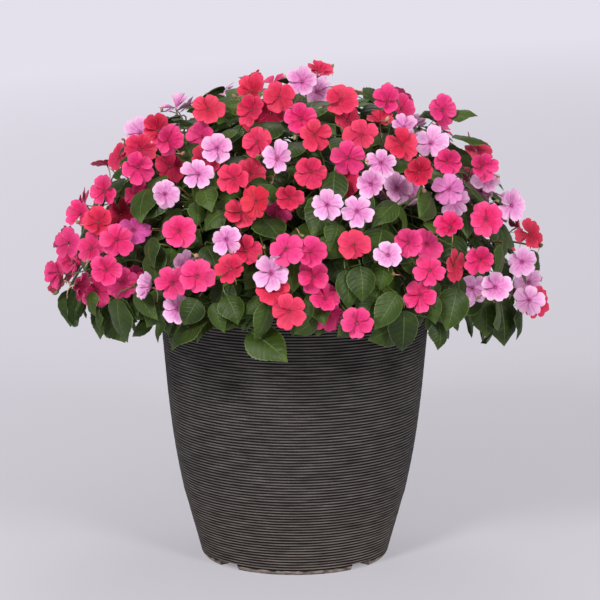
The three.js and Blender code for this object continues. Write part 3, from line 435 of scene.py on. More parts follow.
def find_leaves(points, triangles):
    """The leaves of a stem, and which triangles are their blades."""
    steps = steps_round(triangles)
    leaves, blade = [], np.zeros(len(triangles), bool)
    for hub, around in steps.items():
        ring = np.array(ring_of(around))
        if len(ring) != LEAF_RING:
            continue
        sides = np.linalg.norm(points[ring] - points[np.roll(ring, -1)], axis=1)
        reach = np.linalg.norm(points[ring] - points[hub], axis=1)
        if sides.min() > SHORT_BASE or reach.min() < NEAREST_RIM:
            continue
        # The ring is turned to start at the right of the base, and runs up that side and down the left.
        ring = np.roll(ring, -1 - int(sides.argmin()))
        rim = points[ring]
        base, tip = (rim[0] + rim[8]) / 2, rim[4]
        right_side, left_side = rim[1:4], rim[7:4:-1]  # both from the base to the tip
        ahead = unit(tip - base)
        span = left_side[1] - right_side[1]
        left = unit(span - (span @ ahead) * ahead)
        up = np.cross(ahead, left)
        leaves.append(
            {
                "base": base,
                "tip": tip,
                "left": left,
                "up": up,
                "width": float(span @ left),
                "arch": float((points[hub] - base) @ up),
                "right_rises": [float((p - base) @ up) for p in right_side],
                "left_rises": [float((p - base) @ up) for p in left_side],
            }
        )
        under_hub = steps[ring[2]][ring[1]]
        blade |= np.isin(triangles, [hub, under_hub]).any(axis=1)
    return leaves, blade


print("the first stem has", len(find_leaves(*joined(solids["leafy_stem_01"]))[0]), "leaves")

# %% [markdown]
# ## Bunches
# A foliage piece or a spray is one mesh of many petals, blades and stalks. Each of them could be an object
# of its own, but thousands of objects are slow, and a piece has to stand for a whole solid. So a bunch
# collects their points and faces as arrays, keeps *place* and *tint* for each point, and turns it all into
# one piece.

# %% A bunch of small parts
CREASE = math.radians(110)  # sharper edges than this stay sharp: the thin rims of petals and blades
MAIN, STALK = 0, 1  # the numbers of a piece's own finish and of its stalks' finish
NO_PLACE = (0, 0, 1)  # the place of all points on a stalk, a spur or a bud


class Bunch:
    """Many small parts that become one mesh."""

    def __init__(self):
        self.points, self.faces, self.place, self.tint, self.finishes = [], [], [], [], []
        self.count = 0

    def add(self, points, faces, place, tint, finish=MAIN):
        """place and tint may be one triple for all the points."""
        points = np.asarray(points, float).reshape(-1, 3)
        self.faces += [[corner + self.count for corner in face] for face in faces]
        self.points.append(points)
        self.place.append(np.broadcast_to(np.asarray(place, float), points.shape))
        self.tint.append(np.broadcast_to(np.asarray(tint, float), points.shape))
        self.finishes += [finish] * len(faces)
        self.count += len(points)

    def show(self, name, materials, slot, solid):
        """One piece that rides on the frame and stands for a solid."""
        mesh = bpy.data.meshes.new(name)
        mesh.from_pydata(np.concatenate(self.points).tolist(), [], self.faces)
        for key, rows in (("place", self.place), ("tint", self.tint)):
            layer = mesh.attributes.new(key, "FLOAT_VECTOR", "POINT")
            layer.data.foreach_set("vector", np.concatenate(rows).astype(np.float32).ravel())
        for material in materials:
            mesh.materials.append(material)
        mesh.polygons.foreach_set("material_index", np.array(self.finishes, np.int32))
        mesh.shade_smooth()
        mesh.set_sharp_from_angle(angle=CREASE)
        piece = bpy.data.objects.new(name, mesh)
        bpy.context.collection.objects.link(piece)
        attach(piece, "root")
        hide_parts(solid)

    def triangles(self):
        return sum(len(face) - 2 for face in self.faces)


# %% [markdown]
# ## Thin sheets and tubes
# Petals and blades are thin sheets. A sheet with one side only would vanish edge-on and would have no
# inside, so each is a closed shape: an upper and an under grid that share their rim. The faces of such a
# grid are the same for every petal, so they are worked out once and used hundreds of times.
#
# Stalks are tubes. A curve with a round bevel would do for one stalk, but here a ring of points is carried
# along the path, so that it can join a bunch. The ring is kept from twisting by taking out of its sideways
# direction whatever points along the path.

# %% Sheets


def sheet_faces(rows, columns):
    """The faces of a thin closed sheet, and which points of its grid are inside its rim."""
    upper = np.arange((rows + 1) * (columns + 1)).reshape(rows + 1, columns + 1)
    inside = np.zeros(upper.shape, bool)
    inside[1:-1, 1:-1] = True
    under = upper.copy()
    under[inside] = upper.size + np.arange(inside.sum())
    corners = [
        np.stack([grid[:-1, :-1], grid[1:, :-1], grid[1:, 1:], grid[:-1, 1:]], -1).reshape(-1, 4)
        for grid in (upper, under)
    ]
    return np.concatenate([corners[0], corners[1][:, ::-1]]).tolist(), inside


def sheet_points(middle, up, half_thickness, inside):
    """The upper grid of points and then the under ones, either side of a middle surface."""
    lift = half_thickness * inside[..., None] * up
    return np.concatenate([(middle + lift).reshape(-1, 3), (middle - lift)[inside]])


def sheet_place(along, across, inside):
    """The place of each of a sheet's points: along it, across it, and 1 above or 0 below."""
    along, across = np.broadcast_arrays(along, across)
    upper = np.stack([along, across, np.ones(along.shape)], -1).reshape(-1, 3)
    under = np.stack([along, across, np.zeros(along.shape)], -1)[inside]
    return np.concatenate([upper, under])


def sheet_grid(rows, columns):
    """Shares of the way along a sheet, from 0 to 1, and across it, from -1 to 1."""
    return np.linspace(0, 1, rows + 1)[:, None], np.linspace(-1, 1, columns + 1)[None, :]


print("a sheet of 6 by 10 has", len(sheet_faces(6, 10)[0]), "faces")

# %% Tubes
ANY_WAY = (0.31, 0.87, 0.38)  # a direction that no stalk starts out along


def tube(path, radii, sides):
    """The points and faces of a closed round stalk."""
    path = np.asarray(path, float)
    ahead = np.gradient(path, axis=0)
    ahead /= np.linalg.norm(ahead, axis=1)[:, None]
    side = np.cross(ahead[0], ANY_WAY)
    turns = np.arange(sides) * 2 * math.pi / sides
    rings = []
    for point, direction, radius in zip(path, ahead, np.broadcast_to(radii, len(path))):
        side = unit(side - (side @ direction) * direction)
        other = np.cross(direction, side)
        rings.append(point + radius * (np.cos(turns)[:, None] * side + np.sin(turns)[:, None] * other))
    last_ring = (len(path) - 1) * sides
    faces = [list(range(sides))[::-1], list(range(last_ring, last_ring + sides))]
    for row in range(0, last_ring, sides):
        for i in range(sides):
            a, b = row + i, row + (i + 1) % sides
            faces.append([a, b, b + sides, a + sides])
    return np.concatenate(rings), faces


def bent(start, out, end, steps):
    """A smooth path from start, leaving along out, to end."""
    share = np.linspace(0, 1, steps)[:, None]
    knee = np.asarray(start) + np.asarray(out)
    return (1 - share) ** 2 * start + 2 * share * (1 - share) * knee + share**2 * end


def add_stalk(bunch, path, radii, sides, tint):
    """A tube along a path, in the stalks' finish."""
    points, faces = tube(path, radii, sides)
    bunch.add(points, faces, NO_PLACE, tint, STALK)


path = bent(np.zeros(3), [0, 0, 1], np.array([1, 0, 1]), 3)
print("a path that leaves 0 0 0 upwards for 1 0 1 passes", path[1])

# %% [markdown]
# ## Round stems
# What is left of a solid once its blades are taken away is its stems and stalks, with flat sides. The cut
# ends are closed, and one round of subdivision makes the sides round. They could also be drawn again as
# tubes along a path, but the joints between them would be lost.

# %% Subdivided stalks
CUT_END = 6  # the most edges that the end of a cut stalk has


def rounded(points, triangles):
    """The points and faces of the same limbs with round sides."""
    mesh = bpy.data.meshes.new("limbs")
    limbs = bmesh.new()
    corners = [limbs.verts.new(point) for point in points]
    for triangle in triangles.tolist():
        if limbs.faces.get([corners[i] for i in triangle]) is None:
            limbs.faces.new([corners[i] for i in triangle])
    bmesh.ops.delete(limbs, geom=[v for v in limbs.verts if not v.link_faces], context="VERTS")
    bmesh.ops.holes_fill(limbs, edges=limbs.edges, sides=CUT_END)
    bmesh.ops.triangulate(limbs, faces=limbs.faces)
    limbs.to_mesh(mesh)
    limbs.free()
    holder = bpy.data.objects.new("limbs", mesh)
    bpy.context.collection.objects.link(holder)
    holder.modifiers.new("round", "SUBSURF").levels = 1
    holder.modifiers["round"].render_levels = 1
    fine = holder.evaluated_get(bpy.context.evaluated_depsgraph_get()).to_mesh()
    result = [list(v.co) for v in fine.vertices], [list(face.vertices) for face in fine.polygons]
    bpy.data.objects.remove(holder)
    bpy.data.meshes.remove(mesh)
    return result


points, triangles = joined(solids["leafy_stem_01"])
limbs = triangles[~find_leaves(points, triangles)[1]]
print("the first stem's limbs:", len(limbs), "triangles become", len(rounded(points, limbs)[1]), "faces")

# %% [markdown]
# ## One bloom
# A petal is broad and rounded with a shallow notch, narrow at its foot, and each one laps over the next.
# One could be modelled by hand and copied, but it is the small differences that make blooms look grown. So
# each petal is a grid from the throat to the rim and from one side to the other, in angles round the eye.
# The rise, the lean, the lap, the curl of the sides, the ruffled rim and the crease down the middle are all
# small heights added over that grid. A dark throat, a cap of stamens and a curved spur stand at its heart.

# %% Throat, stamens and spur
rng = np.random.default_rng(20)  # every random number below is drawn from this, so each run is the same

IN_THROAT, ON_CAP = (-1, 0, 1), (-2, 0, 1)  # the places that the petals' finish paints as throat and cap
THROAT_RISES = np.array([[-2.6], [-0.3], [0.35], [0.45], [-0.5]]) * MM
THROAT_RADII = np.array([0.9, 1.2, 1.6, 1.3, 0.4]) * MM
CAP_RISES = np.array([[-0.4], [0.4], [1.1], [1.5]]) * MM
CAP_RADII = np.array([0.3, 0.46, 0.42, 0.2]) * MM
CAP_ASIDE = 0.4 * MM
SPUR_RADII = np.linspace(1.1, 0.35, 7) * MM
SPUR_FOOT, SPUR_KNEE = 1.8 * MM, 14 * MM  # behind the eye, and on from there to where it bends
SPUR_BACK, SPUR_DOWN = 9, 17  # mm from its foot to its end


def add_heart(bunch, bloom, own):
    """A small dark cup that the petals spring from, and the pale cap in it."""
    eye, front = bloom["eye"], bloom["front"]
    points, faces = tube(eye + THROAT_RISES * front, THROAT_RADII, 8)
    bunch.add(points, faces, IN_THROAT, (own, 0, 0))
    cap = eye + CAP_RISES * front + CAP_ASIDE * unit(bloom["petals"][0])
    points, faces = tube(cap, CAP_RADII, 6)
    bunch.add(points, faces, ON_CAP, (own, 0, 0))


def blush(low, high):
    """The tint of a spur or a bud, of a random blush."""
    return rng.uniform(low, high), rng.random(), 0


def add_spur(bunch, bloom):
    """A thin curved tail that hangs from behind the throat."""
    front = bloom["front"]
    down = unit(np.array([0, 0, -1.0]) + rng.uniform(-0.3, 0.3, 3))
    start = bloom["eye"] - SPUR_FOOT * front
    end = start + (-SPUR_BACK * front + SPUR_DOWN * down) * MM
    path = bent(start, -SPUR_KNEE * front, end, len(SPUR_RADII))
    add_stalk(bunch, path, SPUR_RADII, 5, blush(0.45, 0.95))


# %% What petals have in common, and how far they differ
PETAL_GRID = (6, 10)
petal_faces, petal_inside = sheet_faces(*PETAL_GRID)
PETAL_HALF_THICKNESS = 0.25 * MM
# Half of a petal's width, in radians round the eye: the pale blooms have the narrowest petals.
PETAL_SPREADS = {"rose": (0.7, 0.9), "coral": (0.72, 0.94), "pale": (0.68, 0.84)}
THROAT = 1.2 * MM  # the radius at which petals begin
ODD_SHARE = 0.03  # of the blooms have the odd one of their body colours
BLOOM_LEAN = 0.19  # the slope by which blooms lean out of their solids' planes, about
CUPS = (0.08, 0.13)  # the slope by which a bloom's petals rise, and how much it varies
PITCH = 0.19  # how much it varies between the petals of one bloom
HALF_OPEN, HALF_OPEN_CUP = 0.14, 0.4  # the share of half open blooms, and how much steeper they are
PETAL_LENGTHS = (0.92, 1.05)  # of the solid's
NOTCHES, NOTCH_WIDTH = (0.05, 0.15), 0.2  # how deep the notch in a rim is, and how wide
DROPS, SQUARENESS = (0.38, 0.5), 3.2  # how far the rim falls back at the sides, and how late
RIM_WAVES, RIM_WAVE = 4.4, 0.014  # half waves either side of the middle, and their height
CURLS, RUFFLES, LAPS = (-2.4, 0.8), (0.3, 1.1), (0.8, 2.0)  # mm
RUFFLE_WAVES = 3.1
PETAL_CREASE, CREASE_WIDTH = 0.45 * MM, 0.16
FULL_TURN = 6.3  # radians, near enough
print("a petal has", len(petal_faces), "faces, and", PETALS, "of them make a bloom")

# %% Petals


def add_petals(bunch, bloom, colour, own, odd):
    """Five petals, each with a shape of its own."""
    eye, front = bloom["eye"], bloom["front"]
    first = unit(bloom["petals"][0])
    second = np.cross(front, first)
    lean = rng.normal(0, BLOOM_LEAN, 2)
    spread = rng.uniform(*PETAL_SPREADS[colour])
    deepest_notch, drop = rng.uniform(*NOTCHES), rng.uniform(*DROPS)
    cup = rng.normal(*CUPS) + (HALF_OPEN_CUP if rng.random() < HALF_OPEN else 0)
    along, across = sheet_grid(*PETAL_GRID)
    for petal, rise in zip(bloom["petals"], bloom["rises"]):
        low = 0.5 - 0.5 * unit(petal)[2]  # the petals that hang are longer and more deeply notched
        notch = deepest_notch * (0.4 + 0.6 * low)
        rim = 1 - drop * abs(across) ** SQUARENESS - notch * np.exp(-((across / NOTCH_WIDTH) ** 2))
        reach = np.linalg.norm(petal) * rng.uniform(*PETAL_LENGTHS) * (0.94 + 0.06 * low)
        turn = math.atan2(petal @ second, petal @ first)
        curl, ruffle, phase = rng.uniform(*CURLS), rng.uniform(*RUFFLES), rng.uniform(0, FULL_TURN)
        pitch, lap = cup + rng.normal(0, PITCH), rng.uniform(*LAPS)
        reach = reach / math.hypot(1, pitch)
        wavy = 1 + RIM_WAVE * np.sin(RIM_WAVES * math.pi * across + phase)
        radius = THROAT + (rim * wavy * reach - THROAT) * along
        angle = turn + across * spread * (0.9 + 0.1 * along)
        raised = rise * (1 - (1 - along) ** 2) + pitch * reach * along**1.3
        leaning = radius * (lean[0] * np.cos(angle) + lean[1] * np.sin(angle))
        lapping = MM * lap * across * np.sqrt(along)
        curling = MM * curl * across**2 * along
        ruffled = MM * ruffle * along**2 * np.cos(RUFFLE_WAVES * math.pi * across + phase)
        creased = PETAL_CREASE * np.exp(-((across / CREASE_WIDTH) ** 2)) * np.sin(math.pi * along)
        height = raised + leaning + lapping + curling + ruffled - creased
        spokes = np.cos(angle)[..., None] * first + np.sin(angle)[..., None] * second
        middle = eye + radius[..., None] * spokes + height[..., None] * front
        points = sheet_points(middle, front, PETAL_HALF_THICKNESS, petal_inside)
        bunch.add(points, petal_faces, sheet_place(along, across, petal_inside), (own, rng.random(), odd))


def add_bloom(bunch, bloom, colour):
    odd = float(rng.random() < ODD_SHARE)
    own = rng.random()
    add_petals(bunch, bloom, colour, own, odd)
    add_heart(bunch, bloom, own)
    add_spur(bunch, bloom)


# %% [markdown]
# ## Sprays of blooms
# Each spray of the frame gives its blooms and its stalks, and some buds are added on stalks of their own. A
# bud is a small pointed egg with a curved spur. It could be a stretched sphere, but a tube whose radius
# swells and shrinks along a curve is as light, and takes the bend of a real bud.
#
# More leaves and blooms are grown later where there is room for them. A test of each mesh against all the
# others would take long, so the space is cut into small cells, and a cell that a blade or a bloom passes
# through is taken.

# %% Buds
STALK_TINT = (0.05, 0.3, 0)
BUD_SIZES, BUD_STRETCH, BUD_WIDTH, BUD_BEND = (2.0, 3.3), 1.6, 0.8, 0.2  # mm, and shares of the size
BUD_SHARES = np.linspace(-1, 1.35, 8)  # along it, past its egg of -1 to 1 to its point
BUD_FORK = 9 * MM  # how far behind the eye its stalk forks off
BUD_ASIDE, BUD_BACK = 24, 2  # mm from the eye to where it stands


def add_bud(bunch, root, place, heading):
    """A bud at a place, on a stalk from its root."""
    add_stalk(bunch, bent(root, (place - root) * 0.5 + 4 * MM * heading, place, 6), 0.7 * MM, 5, STALK_TINT)
    size = rng.uniform(*BUD_SIZES) * MM
    widths = size * np.sqrt(np.clip(1 - BUD_SHARES**2, 0, 1)) * BUD_WIDTH + 0.15 * MM
    widths[-2:] = [0.3 * MM, 0.12 * MM]  # the point
    side = unit(np.cross(heading, rng.normal(size=3)))
    shares = BUD_SHARES[:, None]
    path = place + (shares + 1) * size * BUD_STRETCH * heading + shares**2 * BUD_BEND * size * side
    add_stalk(bunch, path, widths, 7, blush(0.25, 0.75))
    tail = bent(place, 5 * MM * side, place + (7 * side - 5 * heading) * MM, 6)
    add_stalk(bunch, tail, np.linspace(0.7, 0.25, 6) * MM, 5, blush(0.4, 0.8))


def add_bud_beside(bunch, bloom):
    """A bud that forks off behind a bloom and stands beside it."""
    eye, front = bloom["eye"], bloom["front"]
    away = unit(front + rng.normal(size=3) * 0.35)
    beside = unit(np.cross(front, rng.normal(size=3)))
    add_bud(bunch, eye - BUD_FORK * front, eye + (BUD_ASIDE * beside - BUD_BACK * front) * MM, away)


# %% Room between the pieces
CELL = 5 * MM
FRAME_MARGIN, GROWN_MARGIN = (-3, 0, 3), (-2, 0, 2)  # mm above and below a blade that are taken too


class Room:
    """Remembers which small cells of the crown are taken."""

    def __init__(self):
        self.taken = set()

    def cells(self, points):
        return set(map(tuple, np.floor(np.asarray(points) / CELL).astype(int).tolist()))

    def take(self, points):
        self.taken |= self.cells(points)

    def take_blade(self, middle, up, margin):
        for depth in margin:
            self.take(middle + depth * MM * up)

    def free(self, points):
        return self.taken.isdisjoint(self.cells(points))


def bloom_spots(bloom):
    """Points all over a bloom and a little in front of it and behind it."""
    spots = bloom["petals"][:, None] * np.linspace(0.2, 1, 5)[None, :, None]
    spots = bloom["eye"] + spots.reshape(-1, 3)
    return np.concatenate([spots + depth * MM * bloom["front"] for depth in FRAME_MARGIN])


# %% The frame's sprays
BUD_EVERY = 5  # blooms

room = Room()
sprays = {}
for name in sorted(n for n in solids if "_blooms_" in n):
    colour = name.split("_")[0]
    points, triangles = joined(solids[name])
    blooms, blade = find_blooms(points, triangles)
    spray = Bunch()
    spray.add(*rounded(points, triangles[~blade]), NO_PLACE, STALK_TINT, STALK)
    for bloom in blooms:
        add_bloom(spray, bloom, colour)
        room.take(bloom_spots(bloom))
    for bloom in blooms[::BUD_EVERY]:
        add_bud_beside(spray, bloom)
    sprays[name] = {"bunch": spray, "colour": colour, "eyes": np.array([bloom["eye"] for bloom in blooms])}
print(sum(len(spray["eyes"]) for spray in sprays.values()), "blooms from the frame")
print(len(room.taken), "cells taken")

# %% [markdown]
# ## One leaf
# The blade is broad below the middle and drawn out to a point, with small rounded teeth. A flat cut-out
# with a bump would do from far off, but near the camera its edge and its shine give it away. So the outline
# is a curve through a few named widths, and the surface follows the solid's leaf: it arches along the
# midrib and its margins rise and fall as the solid's do, while the quilting between the veins is added
# over it. Leaves further in are made on coarser grids.

# %% The shape of a blade
FINE_BLADE, SMALL_BLADE, INNER_BLADE = (26, 8), (16, 6), (12, 4)  # rows and columns of each grid
blade_grids = {grid: sheet_faces(*grid) for grid in (FINE_BLADE, SMALL_BLADE, INNER_BLADE)}
BLADE_HALF_THICKNESS = 0.3 * MM
OUTLINE_PLACES = [0, 0.02, 0.06, 0.12, 0.2, 0.3, 0.42, 0.55, 0.68, 0.8, 0.89, 0.95, 1]
OUTLINE_WIDTHS = [0.06, 0.26, 0.5, 0.72, 0.89, 0.99, 1, 0.91, 0.72, 0.46, 0.24, 0.11, 0.01]
SIDE_PLACES = [0, 0.16, 0.42, 0.74, 1]  # where the solid gives the rise of the margin
TEETH, TOOTH_DEPTH = 11, 0.035  # on each side, and their depth as a share of the width
QUILT_RISE, TIP_DROOP = 0.6 * MM, 0.05  # the droop is a share of the length
MIDRIB_SINK, MIDRIB_WIDTH = 0.9 * MM, 0.12
LONGEST_BLADE = 60 * MM
# A blade in front of the pot that would hang lower than this is drawn shorter, so that the rim shows.
FRONT_OF_POT, LOWEST_TIP = -190 * MM, 308 * MM
print("faces of a blade by its grid:", {grid: len(faces) for grid, (faces, _) in blade_grids.items()})

# %% Blades


def add_blade(bunch, leaf, tint, grid=FINE_BLADE):
    """One leaf blade. Gives back the points of its middle surface."""
    faces, inside = blade_grids[grid]
    base, tip, up = leaf["base"], leaf["tip"], leaf["up"]
    ahead = tip - base
    length = np.linalg.norm(ahead)
    grown_to = min(1, LONGEST_BLADE / length)
    if tip[1] < FRONT_OF_POT and tip[2] < LOWEST_TIP:
        grown_to = min(grown_to, (base[2] - LOWEST_TIP) / (base[2] - tip[2]))
    ahead, length = ahead * grown_to, length * grown_to
    along, across = sheet_grid(*grid)
    half = np.interp(along, OUTLINE_PLACES, OUTLINE_WIDTHS) * leaf["width"] / 2 * grown_to
    teeth = TOOTH_DEPTH * leaf["width"] * np.abs(np.sin(math.pi * TEETH * along)) * np.sin(math.pi * along)
    out = half * across + teeth * np.sign(across) * abs(across) ** 4
    right = np.interp(along, SIDE_PLACES, [0, *leaf["right_rises"], 0])
    left = np.interp(along, SIDE_PLACES, [0, *leaf["left_rises"], 0])
    margin = np.where(across < 0, right, left)
    arched = leaf["arch"] * 4 * along * (1 - along) * (1 - across**2) + margin * across**2
    between_veins = np.abs(np.sin(math.pi * veins_passed(along, abs(across)))) ** 0.7
    quilt = between_veins * np.sin(math.pi * np.clip(abs(across) * 0.9 + 0.1, 0, 1))
    quilted = QUILT_RISE * quilt * np.sin(math.pi * along) ** 0.5
    sunk = MIDRIB_SINK * np.exp(-((across / MIDRIB_WIDTH) ** 2)) * (1 - along)
    drooped = TIP_DROOP * length * along**4
    height = arched + quilted - sunk - drooped
    middle = base + along[..., None] * ahead + out[..., None] * leaf["left"]
    middle = middle + height[..., None] * up
    points = sheet_points(middle, up, BLADE_HALF_THICKNESS, inside)
    bunch.add(points, faces, sheet_place(along, across, inside), tint)
    return middle.reshape(-1, 3)


# %% [markdown]
# ## Foliage
# The solids give the larger leaves. A real plant carries many more, which close the dome so that nothing
# shows through it. They are grown here: places are spread evenly over shells inside the crown, the
# nearest stem is found for each, and a leaf goes there if its cells are free. A few shells fill only the
# top, the skirt that hangs over the pot, or the shoulders at the back. Leaves could be scattered by a
# particle system, but it knows nothing of what is already there. The old leaves hang low and are dark, and
# young ones of a lighter green stand higher.

# %% Leaves of the frame
CROWN_LEVEL, CROWN_RADIUS, CROWN_RISE, CROWN_SKIRT = 345 * MM, 306 * MM, 281 * MM, 110 * MM
UP = np.array([0, 0, 1.0])
FEW_FRESH, MORE_FRESH = 5, 2  # powers of a random number: the larger, the fewer light young leaves
OLD_LEAVES_TO = (350 * MM, 390 * MM)  # the levels between which leaves go from old to of any age
FRESHEST_OLD = 0.35


def crown_share(points):
    """How far out points lie: 0 in the middle of the crown and 1 on its surface."""
    rise = np.where(points[..., 2] > CROWN_LEVEL, CROWN_RISE, CROWN_SKIRT)
    flat = np.hypot(points[..., 0], points[..., 1]) / CROWN_RADIUS
    return np.hypot(flat, (points[..., 2] - CROWN_LEVEL) / rise)


def leaf_tint(leaf, freshness):
    """How fresh a leaf is, and a random number of its own."""
    young = np.interp(leaf["base"][2], OLD_LEAVES_TO, (FRESHEST_OLD, 1))
    return young * rng.random() ** freshness, rng.random(), 0


def stem_tint():
    """Green, and a random number of its own."""
    return 0.0, rng.random(), 0


stems = {}
leaf_count = 0
for name in sorted(n for n in solids if n.startswith("leafy_stem_")):
    points, triangles = joined(solids[name])
    leaves, blade = find_leaves(points, triangles)
    foliage = Bunch()
    limb_points, limb_faces = rounded(points, triangles[~blade])
    foliage.add(limb_points, limb_faces, NO_PLACE, stem_tint(), STALK)
    for leaf in leaves:
        middle = add_blade(foliage, leaf, leaf_tint(leaf, FEW_FRESH))
        room.take_blade(middle, leaf["up"], FRAME_MARGIN)
    stems[name] = {"bunch": foliage, "limbs": np.array(limb_points)}
    leaf_count += len(leaves)
print(leaf_count, "leaves from the frame,", len(room.taken), "cells taken")

# %% Places on the crown
GOLDEN_ANGLE = math.pi * (3 - math.sqrt(5))  # from one place to the next, so that they never line up


def crown_point(sine, azimuth, share):
    """A place from its level, its way round, and how far out it lies."""
    reach = CROWN_RADIUS * math.sqrt(1 - sine * sine) * share
    height = CROWN_LEVEL + (CROWN_RISE if sine > 0 else CROWN_SKIRT) * sine * share
    return np.array([math.cos(azimuth) * reach, math.sin(azimuth) * reach, height])


def crown_outward(point):
    return unit(point * [1, 1, 0] / CROWN_RADIUS**2 + UP * (point[2] - CROWN_LEVEL) / CROWN_RISE**2)


print("the top of the crown is at", [round(v, 3) for v in crown_point(1, 0, 1)])

# %% How a grown leaf may lie
GROWN_TRIES = 6
DEEPER_EACH_TRY, SHORTER_EACH_TRY = 0.035, 0.05
LOWEST_OUTWARD = -0.1  # leaves under the crown's edge still face the side and not the ground
FAN, SKIRT_FAN = 0.9, 0.5  # radians, about, from straight downhill: the leaves of the skirt hang down
OUTWARD, LIGHTWARD, UNEVEN = (-0.2, 0.35), (-0.1, 0.6), 0.2  # how far its tip, its face and chance turn it
BEHIND_CENTRE, LEAF_WIDTHS = 0.45, (0.68, 0.82)  # shares of a leaf's length
ARCHES, MARGIN_RISES = (2, 5), (-2, 1.5)  # mm
# Where a leaf is tested for room, as shares of its length and its width.
SPOTS_ALONG, SPOTS_ACROSS = np.linspace(0, 1, 9)[:, None, None], np.linspace(-0.38, 0.38, 7)[None, :, None]
NUDGE = 1e-6  # gives the very top of the crown a downhill too
print(GROWN_TRIES, "tries for each leaf, each tested at", SPOTS_ALONG.size * SPOTS_ACROSS.size, "spots")

# %% A leaf grown where there is room


def grow_leaf(sine, azimuth, shares, lengths, lowest_tip):
    """A leaf near a place on the crown, or nothing if there is no room for one."""
    for attempt in range(GROWN_TRIES):
        share = rng.uniform(*shares) - DEEPER_EACH_TRY * attempt
        centre = crown_point(sine, azimuth, share)
        outward = crown_outward(centre)
        outward[2] = max(outward[2], LOWEST_OUTWARD)
        downhill = unit(outward * [1, 1, 0] * outward[2] - UP * np.hypot(outward[0], outward[1]) + NUDGE)
        sideways = np.cross(outward, downhill)
        fan = rng.normal(0, FAN if sine > 0 else SKIRT_FAN)
        ahead = downhill * math.cos(fan) + sideways * math.sin(fan) + outward * rng.uniform(*OUTWARD)
        up = unit(outward + UP * rng.uniform(*LIGHTWARD) + rng.normal(size=3) * UNEVEN)
        ahead = unit(ahead - (ahead @ up) * up)
        length = rng.uniform(*lengths) * MM * (1 - SHORTER_EACH_TRY * attempt)
        leaf = {
            "base": centre - ahead * length * BEHIND_CENTRE,
            "tip": centre + ahead * length * (1 - BEHIND_CENTRE),
            "left": np.cross(up, ahead),
            "up": up,
            "width": length * rng.uniform(*LEAF_WIDTHS),
            "arch": rng.uniform(*ARCHES) * MM,
            "right_rises": rng.uniform(*MARGIN_RISES, 3) * MM,
            "left_rises": rng.uniform(*MARGIN_RISES, 3) * MM,
        }
        reach = SPOTS_ALONG * (leaf["tip"] - leaf["base"])
        spread = SPOTS_ACROSS * leaf["width"] * leaf["left"]
        if leaf["tip"][2] > lowest_tip and room.free((leaf["base"] + reach + spread).reshape(-1, 3)):
            return leaf
    return None


# %% The stalk that joins it to a stem
all_limbs = np.concatenate([stem["limbs"] for stem in stems.values()])
limb_owner = np.concatenate([[name] * len(stem["limbs"]) for name, stem in stems.items()])
limb_shares = crown_share(all_limbs)
DEEPER_IN, NOT_DEEPER = 0.06, 200 * MM  # stems that aren't that much deeper in count as further off
LEAF_STALK = np.linspace(0.9, 1.3, 7) * MM


def nearest_limb(place):
    """The number of the stem point that a stalk at a place would spring from, and how far off it is."""
    inside = limb_shares < float(crown_share(place)) - DEEPER_IN
    apart = np.linalg.norm(all_limbs - place, axis=1) + np.where(inside, 0, NOT_DEEPER)
    return int(apart.argmin()), apart.min()


def add_grown(leaf, grid, freshness):
    """Adds a grown leaf to the stem that it is nearest to, on a stalk of its own."""
    limb, apart = nearest_limb(leaf["base"])
    foliage = stems[limb_owner[limb]]["bunch"]
    middle = add_blade(foliage, leaf, leaf_tint(leaf, freshness), grid)
    ahead = unit(leaf["tip"] - leaf["base"])
    stalk = bent(leaf["base"], -0.45 * apart * ahead, all_limbs[limb], len(LEAF_STALK))
    add_stalk(foliage, stalk, LEAF_STALK, 5, stem_tint())
    room.take_blade(middle, leaf["up"], GROWN_MARGIN)


print(len(all_limbs), "points of stems that a stalk may spring from")

# %% [markdown]
# ## Three hanging leaves
# At the edge of the crown the weight of the stems turns some broad leaves down, so that they hang flat and
# face the front. A rule that spreads leaves by chance seldom places such a leaf well, and these few are in
# plain sight. So they are listed one by one, two on the right and one on the left, before the others are
# grown.

# %% Hanging leaves
# For each: where it springs from, in degrees round from the right, out from the axis and up, the way that
# it faces, and its length.
HANGING_LEAVES = [
    (-29, 266 * MM, 355 * MM, -75, 48 * MM),
    (-17, 268 * MM, 343 * MM, -65, 57 * MM),
    (-170, 283 * MM, 353 * MM, -110, 48 * MM),
]


def hanging_leaf(azimuth, out, level, facing, length):
    azimuth, facing = math.radians(azimuth), math.radians(facing)
    up = unit([math.cos(facing), math.sin(facing), 0.25])
    ahead = unit((UP @ up) * up - UP)
    base = np.array([out * math.cos(azimuth), out * math.sin(azimuth), level])
    return {
        "base": base,
        "tip": base + length * ahead,
        "left": np.cross(up, ahead),
        "up": up,
        "width": 0.8 * length,
        "arch": 3 * MM,
        "right_rises": np.array([1, -1, -2]) * MM,
        "left_rises": np.array([0, -2, -1]) * MM,
    }


for numbers in HANGING_LEAVES:
    add_grown(hanging_leaf(*numbers), SMALL_BLADE, FEW_FRESH)
print(len(HANGING_LEAVES), "hanging leaves")

# %% Shells of leaves
# Levels on the crown: 0 where it is widest, 1 at its top, and below 0 on the skirt that hangs over the pot.
ALL_ROUND, SHOULDERS, TOP_ONLY, SKIRT = (-0.16, 0.97), (0.3, 0.95), (0.93, 1.0), (-0.55, -0.12)
# How far forward the leaves of a shell may grow.
EVERYWHERE, NOT_IN_FRONT, BEHIND = -1000 * MM, -90 * MM, 40 * MM
